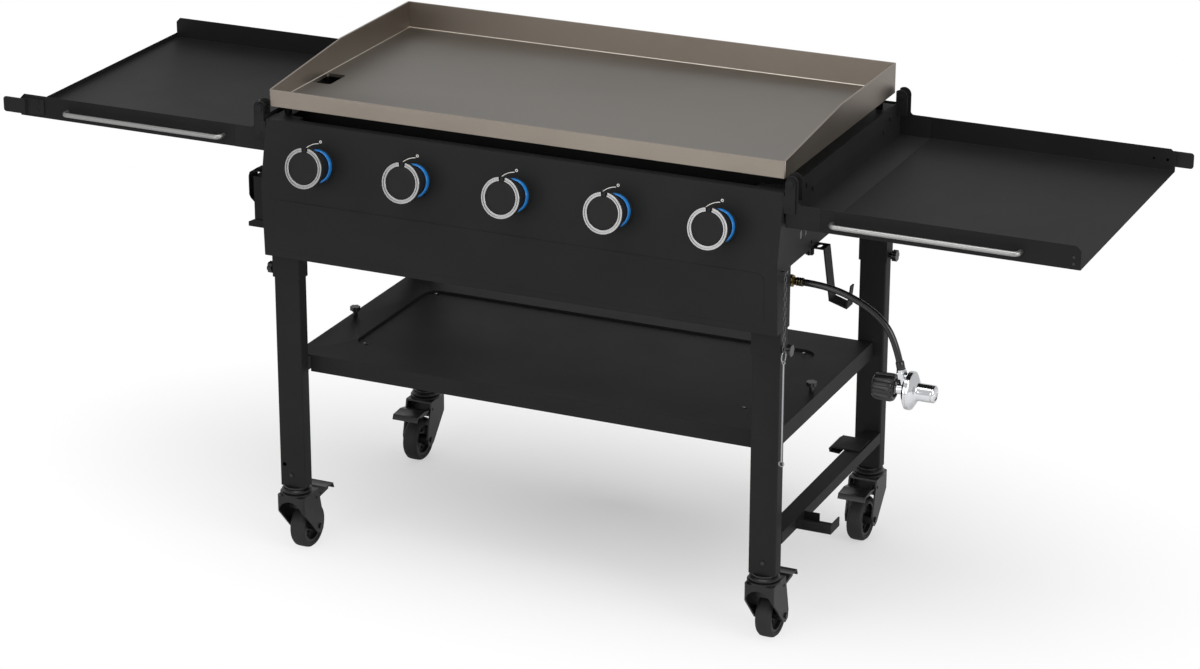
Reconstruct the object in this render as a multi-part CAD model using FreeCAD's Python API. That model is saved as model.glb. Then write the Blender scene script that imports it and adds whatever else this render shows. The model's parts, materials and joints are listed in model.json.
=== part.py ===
import FreeCAD, Part
import math
import os

# Outdoor gas griddle station: a steel griddle tray on a burner frame with four
# castored legs, a lower shelf and two side shelves that fold over as a lid.
# Millimetres. X to the right, Y to the back, Z up, floor at Z 0.

Vector = FreeCAD.Vector
X_AXIS = Vector(1, 0, 0)
Y_AXIS = Vector(0, 1, 0)
Z_AXIS = Vector(0, 0, 1)

# Overall driving sizes
tray_width = 914.0
tray_depth = 503.5
tray_height = 51.5
tray_lip_height = 28.0
tray_slope_depth = 248.0
tray_wall = 3.5
tray_floor = 5.0
tray_bottom_z = 806.0

# Sheet metal
sheet = 1.5
plate = 2.5

# Legs and their sleeves
leg_x = 47.4
leg_y = 26.7
tube_wall = 1.5
leg_bottom_z = 127.5
sleeve_bottom_z = 508.0
leg_inset = 3.2
leg_front_y = -4.6
leg_back_reach = 9.0
leg_screw_drop = 657.0

# Control panel, measured from the tray's bottom and front face
panel_gap = 20.0
panel_top_y = -8.7
panel_fold_y = -32.0
panel_fold_drop = 128.0
panel_bottom_y = -26.5
panel_bottom_drop = 252.7
panel_half = 459.5
panel_return_y = 27.0
panel_flange = 16.0
emboss_height = 0.8
emboss_margin = 22.5
emboss_top_drop = 150.0
emboss_bottom_drop = 239.0

# Knobs
knob_count = 5
knob_pitch = 178.3
knob_offset_x = 1.5
knob_drop = 83.8
knob_radius = 34.3
knob_body_radius = 24.3
knob_neck_height = 32.0
knob_rim_height = 10.0
knob_ring_width = 7.2
knob_ring_thick = 4.0
knob_ring_gap = 10.6
knob_reach = 50.8
knob_push = 5.0
bezel_radius = 29.0
bezel_gap = 1.2
bezel_height = 11.0
stem_radius = 4.0
running_gap = 0.05
slip_gap = 0.2
plunger_radius = 8.0

# Side panels and rear panel
side_bottom_drop = 155.0
side_flange = 26.0

# Burners and gas line
burner_radius = 15.0
burner_wall = 1.2
burner_slot_count = 7
burner_blind_end = 60.0
manifold_radius = 9.5

# Side shelves
pivot_reach = 11.0
pivot_drop = 3.0
shelf_reach = 469.0
shelf_front_y = -8.5
shelf_floor_drop = 76.0
shelf_wall_height = 38.5
channel_gap = 3.0
channel_width = 57.5
channel_wall_drop = 15.0
ear_radius = 12.0
pin_radius = 4.0
shelf_lip = 10.0

# Lower shelf and rails
lower_shelf_top_drop = 443.0
lower_shelf_inset = 17.8
lower_shelf_front_y = 28.0
lower_shelf_height = 30.0
lower_rail_x = 25.0
lower_rail_z = 25.0
tank_rail_top_drop = 610.0
tank_rail_x = 30.0
tank_rail_z = 20.0
stud_radius = 3.0

# Casters
wheel_radius = 40.0
wheel_width = 28.0
caster_trail = 33.0
fork_radius = 28.5
axle_radius = 5.0
stem_pin_radius = 5.5

# Places that follow from the driving sizes
tray_half = tray_width / 2
leg_outer_x = panel_half - leg_inset
leg_back_y = tray_depth + leg_back_reach
side_outer_x = leg_outer_x
pivot_x = panel_half + pivot_reach
channel_inner_x = panel_half + channel_gap
channel_outer_x = channel_inner_x + channel_width
shelf_outer_x = pivot_x + shelf_reach
emboss_half = panel_half - emboss_margin
lower_shelf_half = leg_outer_x - lower_shelf_inset
depth_middle = tray_depth / 2
legs_middle = (leg_front_y + leg_back_y) / 2
shelf_back_y = tray_depth - shelf_front_y
leg_inner_x = leg_outer_x - leg_x
leg_mid_x = leg_outer_x - leg_x / 2
front_leg_y = leg_front_y + leg_y / 2
back_leg_y = leg_back_y - leg_y / 2
panel_tilt = math.atan2(panel_top_y - panel_fold_y, panel_fold_drop - panel_gap)
bezel_inner = knob_body_radius + bezel_gap
knob_normal = Vector(0, -math.cos(panel_tilt), math.sin(panel_tilt))
knob_up = Vector(0, math.sin(panel_tilt), math.cos(panel_tilt))
handle_radius = 4.0
handle_reach = 16.0
latch_reach = 7.0
knob_face_y = panel_top_y - (knob_drop - panel_gap) * math.tan(panel_tilt)
front_most_y = knob_face_y - (knob_reach + knob_ring_thick) * math.cos(panel_tilt)
front_most_y -= knob_radius * math.sin(panel_tilt)
back_most_y = back_leg_y + fork_radius
middle_y = (front_most_y + back_most_y) / 2


# Basic solids and small helpers
def box(x0, x1, y0, y1, z0, z1):
    low = Vector(min(x0, x1), min(y0, y1), min(z0, z1))
    return Part.makeBox(abs(x1 - x0), abs(y1 - y0), abs(z1 - z0), low)


def rod(start, axis, radius, length):
    return Part.makeCylinder(radius, length, start, axis)


def tube(start, axis, radius, wall, length):
    return rod(start, axis, radius, length).cut(rod(start, axis, radius - wall, length))


def prism(points, along):
    wire = Part.makePolygon(points + [points[0]])
    return Part.Face(wire).extrude(along)


def joined(shapes):
    whole = shapes[0]
    for other in shapes[1:]:
        whole = whole.fuse(other)
    return whole.removeSplitter()


def without(shape, tools):
    for tool in tools:
        shape = shape.cut(tool)
    return shape


def rounded(shape, radius, wanted):
    edges = [edge for edge in shape.Edges if wanted(edge)]
    if not edges:
        return shape
    return shape.makeFillet(radius, edges)


def edge_middle(edge):
    return edge.valueAt((edge.FirstParameter + edge.LastParameter) / 2)


def runs_along(edge, axis):
    if not isinstance(edge.Curve, Part.Line):
        return False
    return abs(edge.Curve.Direction.dot(axis)) > 0.999


def rounded_plate(points, along, radius):
    solid = prism(points, along)
    axis = Vector(along)
    axis.normalize()
    return rounded(solid, radius, lambda edge: runs_along(edge, axis))


def rect_xz(x0, x1, z0, z1, y):
    return [Vector(x0, y, z0), Vector(x1, y, z0), Vector(x1, y, z1), Vector(x0, y, z1)]


def rect_xy(x0, x1, y0, y1, z):
    return [Vector(x0, y0, z), Vector(x1, y0, z), Vector(x1, y1, z), Vector(x0, y1, z)]


def rect_yz(y0, y1, z0, z1, x):
    return [Vector(x, y0, z0), Vector(x, y1, z0), Vector(x, y1, z1), Vector(x, y0, z1)]


def revolved(profile, base, axis, sideways):
    # A closed profile of (radius, height) pairs turned about an axis
    points = [base + sideways * r + axis * h for r, h in profile]
    wire = Part.makePolygon(points + [points[0]])
    return Part.Face(wire).revolve(base, axis, 360)


def bent_strip(points, thick, width_vector):
    # A strip of even thickness that follows points in a plane of constant Y
    solids = []
    for a, b in zip(points, points[1:]):
        run = b - a
        side = run.cross(width_vector)
        side.normalize()
        half = side * (thick / 2)
        run.normalize()
        end = run * (thick / 2)
        corners = [a - half - end, b - half + end, b + half + end, a + half - end]
        solids.append(prism(corners, width_vector))
    return joined(solids)


def bend_piece(before, b, after, cut, radius):
    # The round piece of rod between two runs that meet at b
    turn = math.pi - before.getAngle(after)
    bend = cut / math.tan(turn / 2)
    start = b + before * cut
    inward = before + after
    inward.normalize()
    centre = b + inward * (bend / math.cos(turn / 2))
    axis = after.cross(before)
    axis.normalize()
    disc = Part.Face(Part.Wire(Part.makeCircle(radius, start, before)))
    return disc.revolve(centre, axis, math.degrees(turn)), bend, turn


def rod_along(points, radius, cuts):
    # Straight runs joined by tangent arcs; cuts holds each corner's cut-back
    solids = []
    length = 0.0
    last = points[0]
    for k in range(1, len(points) - 1):
        before = points[k - 1] - points[k]
        after = points[k + 1] - points[k]
        before.normalize()
        after.normalize()
        piece, bend, turn = bend_piece(before, points[k], after, cuts[k - 1], radius)
        corner = points[k] + before * cuts[k - 1]
        run = corner - last
        solids.append(rod(last, run, radius, run.Length))
        solids.append(piece)
        length += run.Length + bend * turn
        last = points[k] + after * cuts[k - 1]
    run = points[-1] - last
    solids.append(rod(last, run, radius, run.Length))
    whole = solids[0]
    for solid in solids[1:]:
        whole = whole.fuse(solid)
    return whole, length + run.Length


def bent_rod(points, radius, bend):
    cuts = []
    for a, b, c in zip(points, points[1:], points[2:]):
        turn = math.pi - (a - b).getAngle(c - b)
        cuts.append(bend * math.tan(turn / 2))
    return rod_along(points, radius, cuts)[0]


def hexagon_bar(base, radius, height):
    # An upright six-sided bar, such as a nut
    corners = []
    for k in range(6):
        angle = math.pi / 3 * k
        corner = X_AXIS * (radius * math.cos(angle)) + Y_AXIS * (radius * math.sin(angle))
        corners.append(base + corner)
    return prism(corners, Z_AXIS * height)


def wire_ring(centre, axis, sideways, radius, wire):
    # A ring of six-sided wire
    profile = []
    for k in range(6):
        angle = math.pi / 3 * k
        profile.append((radius + wire * math.cos(angle), wire * math.sin(angle)))
    return revolved(profile, centre, axis, sideways)


def mirrored(shape):
    return shape.mirror(Vector(0, 0, 0), X_AXIS)


def mirrored_depth(shape, middle=depth_middle):
    return shape.mirror(Vector(0, middle, 0), Y_AXIS)


def four_corners(shape, middle=depth_middle):
    left = mirrored(shape)
    return [shape, left, mirrored_depth(shape, middle), mirrored_depth(left, middle)]


def save(name, shapes):
    solids = []
    for shape in shapes:
        solids.extend(shape.Solids)
    whole = solids[0] if len(solids) == 1 else Part.makeCompound(solids)
    whole = whole.copy()
    whole.translate(Vector(0, -middle_y, tray_bottom_z))
    whole.exportStep("parts/" + name + ".step")


# Griddle tray: floor, sloped side walls, front lip, back wall, drain and feet
drain_x0 = -tray_half + 5.5
drain_width = 35.5
drain_y0 = 134.0
drain_length = 58.0
drain_drop = 14.0
foot_radius = 6.0
foot_inset_x = 15.0
foot_inset_y = 36.0
foot_nut_radius = 9.0
foot_nut_height = 4.0


def tray_side_wall():
    points = [
        Vector(tray_half - tray_wall, 0, 0),
        Vector(tray_half - tray_wall, tray_depth, 0),
        Vector(tray_half - tray_wall, tray_depth, tray_height),
        Vector(tray_half - tray_wall, tray_slope_depth, tray_height),
        Vector(tray_half - tray_wall, 0, tray_lip_height),
    ]
    return prism(points, Vector(tray_wall, 0, 0))


def griddle_plate():
    half = tray_half
    parts = [
        box(-half, half, 0, tray_depth, 0, tray_floor),
        box(-half, half, 0, tray_wall, 0, tray_lip_height),
        box(-half, half, tray_depth - tray_wall, tray_depth, 0, tray_height),
        tray_side_wall(),
        mirrored(tray_side_wall()),
    ]
    tray = joined(parts)
    corners = lambda edge: (
        runs_along(edge, Z_AXIS)
        and abs(abs(edge_middle(edge).x) - half) < 0.1
    )
    tray = rounded(tray, 3.0, corners)
    hole = rounded_plate(
        rect_xy(drain_x0, drain_x0 + drain_width, drain_y0, drain_y0 + drain_length, -1),
        Vector(0, 0, tray_floor + 2),
        6.0,
    )
    skirt = rounded_plate(
        rect_xy(
            drain_x0 - sheet,
            drain_x0 + drain_width + sheet,
            drain_y0 - sheet,
            drain_y0 + drain_length + sheet,
            -drain_drop,
        ),
        Vector(0, 0, drain_drop),
        6.0 + sheet,
    )
    bore = rounded_plate(
        rect_xy(
            drain_x0,
            drain_x0 + drain_width,
            drain_y0,
            drain_y0 + drain_length,
            -drain_drop - 1,
        ),
        Vector(0, 0, drain_drop + 1),
        6.0,
    )
    foot_base = Vector(tray_half - foot_inset_x, foot_inset_y, -panel_gap)
    shank = rod(foot_base, Z_AXIS, foot_radius, panel_gap)
    nut_base = foot_base + Z_AXIS * (panel_gap - foot_nut_height)
    foot = shank.fuse(hexagon_bar(nut_base, foot_nut_radius, foot_nut_height))
    tray = tray.fuse(skirt).cut(bore).cut(hole)
    return joined([tray] + four_corners(foot))


# Control panel: tilted face with five holes, apron, returns and flanges
def panel_outline(y_back, inset):
    return [
        (panel_top_y + inset, -panel_gap - inset),
        (panel_fold_y + inset, -panel_fold_drop),
        (panel_bottom_y + inset, -panel_bottom_drop + inset),
        (y_back, -panel_bottom_drop + inset),
        (y_back, -panel_gap - inset),
    ]


def knob_base(index):
    x = knob_offset_x + (index - (knob_count - 1) / 2) * knob_pitch
    return Vector(x, knob_face_y, -knob_drop)


def control_panel():
    half = panel_half
    outer = [Vector(-half, y, z) for y, z in panel_outline(panel_return_y, 0)]
    inner = [
        Vector(-half + sheet, y, z)
        for y, z in panel_outline(panel_return_y + 1, sheet)
    ]
    shell = prism(outer, Vector(2 * half, 0, 0))
    shell = shell.cut(prism(inner, Vector(2 * (half - sheet), 0, 0)))
    behind = box(
        -half + sheet,
        half - sheet,
        panel_top_y + panel_flange,
        panel_return_y + 1,
        -panel_bottom_drop - 1,
        0,
    )
    notch = box(
        leg_inner_x - tube_wall - slip_gap,
        half - sheet,
        leg_front_y - tube_wall - slip_gap,
        panel_return_y + 1,
        -panel_bottom_drop - 1,
        -panel_bottom_drop + sheet + 1,
    )
    shell = without(shell, [behind, notch, mirrored(notch)])
    low = Vector(0, panel_fold_y, -panel_fold_drop)
    high = Vector(0, panel_bottom_y, -panel_bottom_drop)
    slope = (high.y - low.y) / (high.z - low.z)

    def apron_y(z):
        return low.y + (z - low.z) * slope

    z_top, z_low = -emboss_top_drop, -emboss_bottom_drop
    pad_points = [
        Vector(-emboss_half, apron_y(z_low) - emboss_height, z_low),
        Vector(emboss_half, apron_y(z_low) - emboss_height, z_low),
        Vector(emboss_half, apron_y(z_top) - emboss_height, z_top),
        Vector(-emboss_half, apron_y(z_top) - emboss_height, z_top),
    ]
    pad = rounded_plate(pad_points, Vector(0, emboss_height + sheet / 2, 0), 14.0)
    holes = [
        rod(knob_base(i) - knob_normal * 10, knob_normal, stem_radius + 3, 20)
        for i in range(knob_count)
    ]
    panel = joined([shell, pad])
    return without(panel, holes)


# Bezels, knobs, plungers and valves share one axis at each knob
def knob_bezel(index):
    base = knob_base(index)
    profile = [
        (bezel_inner - 3, 0),
        (bezel_radius, 0),
        (bezel_radius, bezel_height * 0.45),
        (bezel_radius - 1.2, bezel_height * 0.85),
        (bezel_radius - 2.2, bezel_height),
        (bezel_inner, bezel_height),
        (bezel_inner, 2.0),
        (bezel_inner - 3, 2.0),
    ]
    return revolved(profile, base, knob_normal, X_AXIS)


def knob_pieces(index):
    base = knob_base(index)
    low = knob_push + 2.6
    grip = revolved(
        [
            (0, low),
            (knob_body_radius - 1.0, low),
            (knob_body_radius, low + 1.5),
            (knob_body_radius + 0.4, knob_neck_height - 6),
            (knob_body_radius + 2.0, knob_neck_height),
            (knob_radius - 2.2, knob_reach - knob_rim_height - 2),
            (knob_radius, knob_reach - knob_rim_height),
            (knob_radius, knob_reach),
            (0, knob_reach),
        ],
        base,
        knob_normal,
        X_AXIS,
    )
    ring_inner = knob_radius - knob_ring_width
    face = base + knob_normal * knob_reach
    disc = rod(face, knob_normal, ring_inner - 0.6, knob_ring_thick - 0.8)
    pointer_up = knob_up * (knob_radius - 1.0)
    pointer = prism(
        [
            face - X_AXIS * 2.6,
            face + X_AXIS * 2.6,
            face + X_AXIS * 2.6 + pointer_up,
            face - X_AXIS * 2.6 + pointer_up,
        ],
        knob_normal * (knob_ring_thick + 0.4),
    )
    socket = rod(base, knob_normal, stem_radius, knob_reach - 12)
    cap = joined([grip, disc, pointer]).cut(socket)
    ring = tube(face, knob_normal, knob_radius, knob_ring_width, knob_ring_thick)
    notch = prism(
        [
            face - X_AXIS * (knob_ring_gap / 2),
            face + X_AXIS * (knob_ring_gap / 2),
            face + X_AXIS * (knob_ring_gap / 2) + knob_up * (knob_radius + 5),
            face - X_AXIS * (knob_ring_gap / 2) + knob_up * (knob_radius + 5),
        ],
        knob_normal * (knob_ring_thick + 1),
    )
    ring = ring.cut(notch)
    stem = rod(base - knob_normal * stem_depth, knob_normal, stem_radius, stem_length)
    return [cap, ring, stem]


stem_depth = 44.0
stem_length = stem_depth + knob_reach - 12
bonnet_top = 14.0
bonnet_bottom = 32.0
valve_end = 62.0
plunger_top = bonnet_top + 6.0
plunger_thick = 5.0
valve_half = 12.0


def valve_plunger(index):
    base = knob_base(index) - knob_normal * (plunger_top + plunger_thick)
    ring = rod(base, knob_normal, plunger_radius, plunger_thick)
    return ring.cut(rod(base, knob_normal, stem_radius + running_gap, plunger_thick))


def valve_centre(index):
    return knob_base(index) - knob_normal * ((bonnet_bottom + valve_end) / 2)


def gas_valve(index):
    base = knob_base(index)
    bottom = base - knob_normal * valve_end
    bonnet = rod(
        base - knob_normal * bonnet_bottom,
        knob_normal,
        plunger_radius + 3,
        bonnet_bottom - bonnet_top,
    )
    corner = bottom - X_AXIS * valve_half - knob_up * valve_half
    body = prism(
        [
            corner,
            corner + X_AXIS * (2 * valve_half),
            corner + X_AXIS * (2 * valve_half) + knob_up * (2 * valve_half),
            corner + knob_up * (2 * valve_half),
        ],
        knob_normal * (valve_end - bonnet_bottom),
    )
    bore = rod(
        base - knob_normal * (bonnet_bottom - 2),
        knob_normal,
        plunger_radius + running_gap,
        bonnet_bottom,
    )
    deep = rod(
        base - knob_normal * (stem_depth + knob_push + 1),
        knob_normal,
        stem_radius + running_gap,
        stem_depth + knob_push + 1,
    )
    centre = valve_centre(index)
    spud = rod(centre, Y_AXIS, 6.0, burner_mouth_y - centre.y + 4)
    jet = rod(centre + Vector(0, 14, 0), Y_AXIS, 1.6, 60)
    saddle_z = manifold_centre().z + manifold_radius - 1
    saddle = rod(
        Vector(centre.x, manifold_centre().y, saddle_z),
        Z_AXIS,
        6.5,
        centre.z - saddle_z - valve_half + 6,
    )
    pipe = rod(
        Vector(centre.x - 30, manifold_centre().y, manifold_centre().z),
        X_AXIS,
        manifold_radius,
        60,
    )
    valve = joined([bonnet, body, spud, saddle])
    return without(valve, [bore, deep, jet, pipe])


burner_mouth_y = 56.0
burner_start_y = 104.0


def manifold_centre():
    centre = valve_centre(0)
    return Vector(0, centre.y - 2, centre.z - valve_half - manifold_radius - 4)


def manifold():
    centre = manifold_centre()
    half = leg_inner_x - 12
    start = Vector(-half, centre.y, centre.z)
    corner = Vector(half - pipe_radius, centre.y, centre.z)
    route = [
        corner,
        Vector(corner.x, hose_y, centre.z),
        Vector(corner.x, hose_y, inlet_z),
        Vector(inlet_x, hose_y, inlet_z),
    ]
    rail = rod(start, X_AXIS, manifold_radius, 2 * half)
    pipe = joined([rail, bent_rod(route, pipe_radius, 12.0)])
    for x in (-hanger_x, hanger_x):
        strap = box(
            x - 8, x + 8, panel_top_y + 2, centre.y, centre.z - 1.25, centre.z + 1.25
        )
        post = box(
            x - 8,
            x + 8,
            panel_top_y + 2,
            panel_top_y + 4.5,
            centre.z - 1.25,
            -panel_gap - sheet,
        )
        pipe = joined([pipe, strap, post])
    return pipe


pipe_radius = 7.0
hanger_x = knob_pitch * 1.5 + 10.0


# Burners: stainless tubes with a venturi neck, a row of slots and a closed end
def burner(index):
    centre = valve_centre(index)
    x, z = centre.x, centre.z
    end_y = tray_depth + 10.5 - sheet
    body = revolved(
        [
            (burner_radius - burner_wall, burner_start_y),
            (burner_radius, burner_start_y),
            (burner_radius, end_y - 30),
            (8.0, end_y - 14),
            (8.0, end_y),
            (0, end_y),
            (0, end_y - 16),
            (burner_radius - burner_wall, end_y - 31),
        ],
        Vector(x, 0, z),
        Y_AXIS,
        X_AXIS,
    )
    neck = revolved(
        [
            (13.0, burner_mouth_y),
            (14.2, burner_mouth_y),
            (10.5, burner_mouth_y + 16),
            (10.5, burner_mouth_y + 30),
            (burner_radius, burner_start_y),
            (burner_radius - burner_wall, burner_start_y),
            (9.3, burner_mouth_y + 30),
            (9.3, burner_mouth_y + 16),
        ],
        Vector(x, 0, z),
        Y_AXIS,
        X_AXIS,
    )
    whole = joined([body, neck])
    usable = end_y - burner_blind_end - burner_start_y
    pitch = usable / burner_slot_count
    for k in range(burner_slot_count):
        y = burner_start_y + 20 + pitch * k
        slot = box(x - 20, x + 20, y, y + 4, z + burner_radius * 0.45, z + 20)
        whole = whole.cut(slot)
    return whole


# Frame panels around the burners
def side_panel():
    x1 = side_outer_x
    x0 = x1 - sheet
    y0 = leg_front_y + leg_y + tube_wall
    y1 = leg_back_y - leg_y - tube_wall
    web = box(x0, x1, y0, y1, -side_bottom_drop, -panel_gap - sheet)
    top = box(x1 - side_flange, x1, y0, y1, -panel_gap - sheet, -panel_gap)
    low = box(
        x1 - side_flange, x1, y0, y1, -side_bottom_drop, -side_bottom_drop + sheet
    )
    return joined([web, top, low])


side_slots = ((78.0, -117.0, 9.0, 14.4), (100.0, -121.0, 6.0, 9.0))
side_hole_y = 125.0
side_hole_z = -143.5


def right_side_panel():
    panel = side_panel()
    x = side_outer_x
    cuts = []
    for y, z, width, height in side_slots:
        outline = rect_yz(y - width / 2, y + width / 2, z - height / 2, z + height / 2, x - 5)
        cuts.append(rounded_plate(outline, Vector(10, 0, 0), width * 0.4))
    cuts.append(rod(Vector(x - 5, side_hole_y, side_hole_z), X_AXIS, stud_radius, 10))
    return without(panel, cuts)


def left_side_panel():
    panel = mirrored(side_panel())
    notch = box(
        -side_outer_x + sheet,
        -side_outer_x + side_flange + 1,
        drain_y0 - 8,
        drain_y0 + drain_length + 8,
        -side_bottom_drop - 1,
        -panel_gap + 1,
    )
    return panel.cut(notch)


def sleeve_box(outset):
    return box(
        leg_inner_x - outset,
        leg_outer_x + outset,
        leg_front_y - outset,
        leg_front_y + leg_y + outset,
        sleeve_bottom_z - tray_bottom_z,
        -panel_gap - sheet,
    )


def leg_sleeve():
    cap = box(
        leg_inner_x - tube_wall,
        leg_outer_x + tube_wall,
        panel_top_y + panel_flange,
        leg_front_y + leg_y + tube_wall,
        -panel_gap - sheet,
        -panel_gap,
    )
    hole = rod(
        Vector(leg_outer_x - 1, front_leg_y, -stud_z),
        X_AXIS,
        stud_radius + running_gap,
        tube_wall + 2,
    )
    return joined([sleeve_box(tube_wall).cut(sleeve_box(0)), cap]).cut(hole)


vent_count = 6
vent_pitch = 120.0


def rear_panel():
    y0 = leg_back_y + tube_wall
    face = box(
        -panel_half, panel_half, y0, y0 + sheet, -side_bottom_drop, -panel_gap
    )
    wing = box(
        panel_half - sheet,
        panel_half,
        leg_back_y - leg_y - tube_wall,
        y0,
        -side_bottom_drop,
        -panel_gap,
    )
    top = box(
        -leg_inner_x + 2 * tube_wall,
        leg_inner_x - 2 * tube_wall,
        y0 - panel_flange,
        y0,
        -panel_gap - sheet,
        -panel_gap,
    )
    panel = joined([face, wing, mirrored(wing), top])
    vents = []
    for k in range(vent_count):
        x = (k - (vent_count - 1) / 2) * vent_pitch
        points = rect_xz(x - 40, x + 40, -52, -44, y0 - 1)
        vents.append(rounded_plate(points, Vector(0, sheet + 2, 0), 3.9))
    return without(panel, vents)


def front_heat_shield():
    y = burner_mouth_y + 24
    half = side_outer_x - sheet
    z1 = -panel_gap - sheet
    centre = valve_centre(0)
    web = box(-half, half, y, y + sheet, centre.z - 34, z1)
    lip = box(
        -side_outer_x + side_flange,
        side_outer_x - side_flange,
        y,
        y + 18,
        z1 - sheet,
        z1,
    )
    holes = [
        rod(Vector(valve_centre(i).x, y - 1, centre.z), Y_AXIS, 10.8, sheet + 2)
        for i in range(knob_count)
    ]
    return without(joined([web, lip]), holes)


# Legs, rails, lower shelf and tank rail
def leg_box(outset, z0, z1):
    return box(
        leg_inner_x - outset,
        leg_outer_x + outset,
        leg_front_y - outset,
        leg_front_y + leg_y + outset,
        z0,
        z1,
    )


leg_top_drop = 250.0
stud_z = 287.0


def leg():
    z0 = leg_bottom_z - tray_bottom_z
    tube_solid = leg_box(0, z0, -leg_top_drop)
    tube_solid = rounded(tube_solid, 3.0, lambda edge: runs_along(edge, Z_AXIS))
    hollow = leg_box(-tube_wall, z0 - 1, -leg_top_drop + 1)
    return tube_solid.cut(hollow)


def side_rail():
    top = -lower_shelf_top_drop - plate
    x1 = lower_shelf_half - sheet
    return box(
        x1 - lower_rail_x,
        x1,
        leg_front_y + leg_y,
        leg_back_y - leg_y,
        top - lower_rail_z,
        top,
    )


recess_half = 374.0
recess_front_y = 105.0
recess_depth = 4.0
recess_radius = 30.0


def lower_shelf():
    top = -lower_shelf_top_drop
    y0 = lower_shelf_front_y
    y1 = 2 * legs_middle - y0
    half = lower_shelf_half
    low = top - lower_shelf_height
    floor = box(-half, half, y0, y1, top - plate, top)
    front = box(-half, half, y0, y0 + sheet, low, top)
    side = box(half - sheet, half, y0, y1, low, top)
    pan_y1 = 2 * legs_middle - recess_front_y
    pan = rounded_plate(
        rect_xy(
            -recess_half, recess_half, recess_front_y, pan_y1, top - recess_depth - plate
        ),
        Vector(0, 0, recess_depth + plate),
        recess_radius,
    )
    well = rounded_plate(
        rect_xy(
            -recess_half + plate,
            recess_half - plate,
            recess_front_y + plate,
            pan_y1 - plate,
            top - recess_depth,
        ),
        Vector(0, 0, recess_depth + 1),
        recess_radius - plate,
    )
    back = mirrored_depth(front, legs_middle)
    shelf = joined([floor, front, back, side, mirrored(side), pan])
    holes = [
        rod(Vector(x, legs_middle + y, top - 20), Z_AXIS, shelf_hole_radius, 40)
        for x in (-shelf_hole_x, shelf_hole_x)
        for y in (-shelf_hole_y, shelf_hole_y)
    ]
    holes += [
        rod(Vector(x, shelf_screw_y, top - 20), Z_AXIS, stud_radius + running_gap, 40)
        for x in (-shelf_screw_x, shelf_screw_x)
    ]
    rails = [
        box(x0, x1, y0 - 1, y0 + sheet + 1, low - 1, top - plate)
        for x0, x1 in ((-half + sheet, -leg_inner_x), (leg_inner_x, half - sheet))
    ]
    rails += [mirrored_depth(cut, legs_middle) for cut in rails]
    return without(shelf, [well] + holes + rails)


shelf_hole_x = 350.0
shelf_hole_y = 135.0
shelf_hole_radius = 3.0
shelf_screw_x = lower_shelf_half - sheet - 11.0
shelf_screw_y = 222.0
bracket_height = 16.0
bracket_reach = 61.0
bracket_y0 = 85.0
bracket_width = 40.0
hanger_y0 = 388.0
hanger_width = 56.0


def tank_bracket():
    # An open tray that stands out from the rail's outer face
    x0 = leg_outer_x
    x1 = x0 + bracket_reach
    y0 = bracket_y0
    y1 = y0 + bracket_width
    low = -tank_rail_top_drop - tank_rail_z + 2.0
    high = low + bracket_height
    floor = box(x0, x1, y0, y1, low, low + plate)
    front = box(x0, x1, y0, y0 + plate, low, high)
    back = box(x0, x0 + 2 * bracket_width / 3, y1 - plate, y1, low, high)
    end = box(x1 - plate, x1, y0, y1, low, high)
    slot = rounded_plate(
        rect_xz(x0 + 8, x1 - 10, low + 4, high - 4, y0 - 1), Vector(0, 2.0, 0), 3.9
    )
    return joined([floor, front, back, end]).cut(slot)


def tank_hanger():
    # A plate on the rail's top whose inner end curls down and back
    top = -tank_rail_top_drop
    inner = leg_outer_x - tank_rail_x - 22.0
    y0 = hanger_y0
    z = top + plate / 2
    path = [
        Vector(leg_outer_x - 5, y0, z),
        Vector(inner, y0, z),
        Vector(inner - 5, y0, z - 3.5),
        Vector(inner - 4, y0, z - 8),
        Vector(inner + 12, y0, z - 9),
    ]
    return bent_strip(path, plate, Vector(0, hanger_width, 0))


def tank_rail_pieces():
    top = -tank_rail_top_drop
    x1 = leg_outer_x
    x0 = x1 - tank_rail_x
    y0 = leg_front_y + leg_y
    y1 = leg_back_y - leg_y
    low = top - tank_rail_z
    beam = box(x0, x1, y0, y1, low, top)
    hollow = box(x0 + sheet, x1 - sheet, y0 - 1, y1 + 1, low - 1, top - sheet)
    return [beam.cut(hollow), tank_bracket(), tank_hanger()]


# Hinge brackets: an angle on the frame with a rounded strip and a headed pin
strip_half = 8.5
strip_drop = 52.0
bracket_thick = 2.0
strip_gap = 2.0


def hinge_bracket():
    y1 = shelf_front_y - strip_gap
    y0 = y1 - bracket_thick
    flange_y = panel_return_y - 4
    flange = box(
        panel_half,
        panel_half + sheet,
        y0,
        flange_y,
        -strip_drop,
        -panel_gap - 4,
    )
    strip = box(panel_half, pivot_x + strip_half, y0, y1, -strip_drop, -pivot_drop)
    trimmed = box(
        panel_half - 1, pivot_x - strip_half, y0 - 1, y1 + 1, -panel_gap - 4, 20
    )
    head = rod(Vector(pivot_x, y0, -pivot_drop), Y_AXIS, strip_half, bracket_thick)
    strip = strip.cut(trimmed)
    bolt = rod(Vector(pivot_x - 2, y0 - 1.5, -strip_drop + 7), Y_AXIS, 2.6, 1.5)
    hole = rod(Vector(pivot_x, y0 - 1, -pivot_drop), Y_AXIS, pin_radius, 6)
    return joined([flange, strip, head, bolt]).cut(hole)


pin_end_y = 14.0


def hinge_pin():
    y0 = shelf_front_y - strip_gap - bracket_thick
    shank = rod(
        Vector(pivot_x, y0, -pivot_drop), Y_AXIS, pin_radius, pin_end_y - y0
    )
    head = rod(Vector(pivot_x, y0 - 2.5, -pivot_drop), Y_AXIS, pin_radius + 2, 2.5)
    return joined([head, shank])


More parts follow.
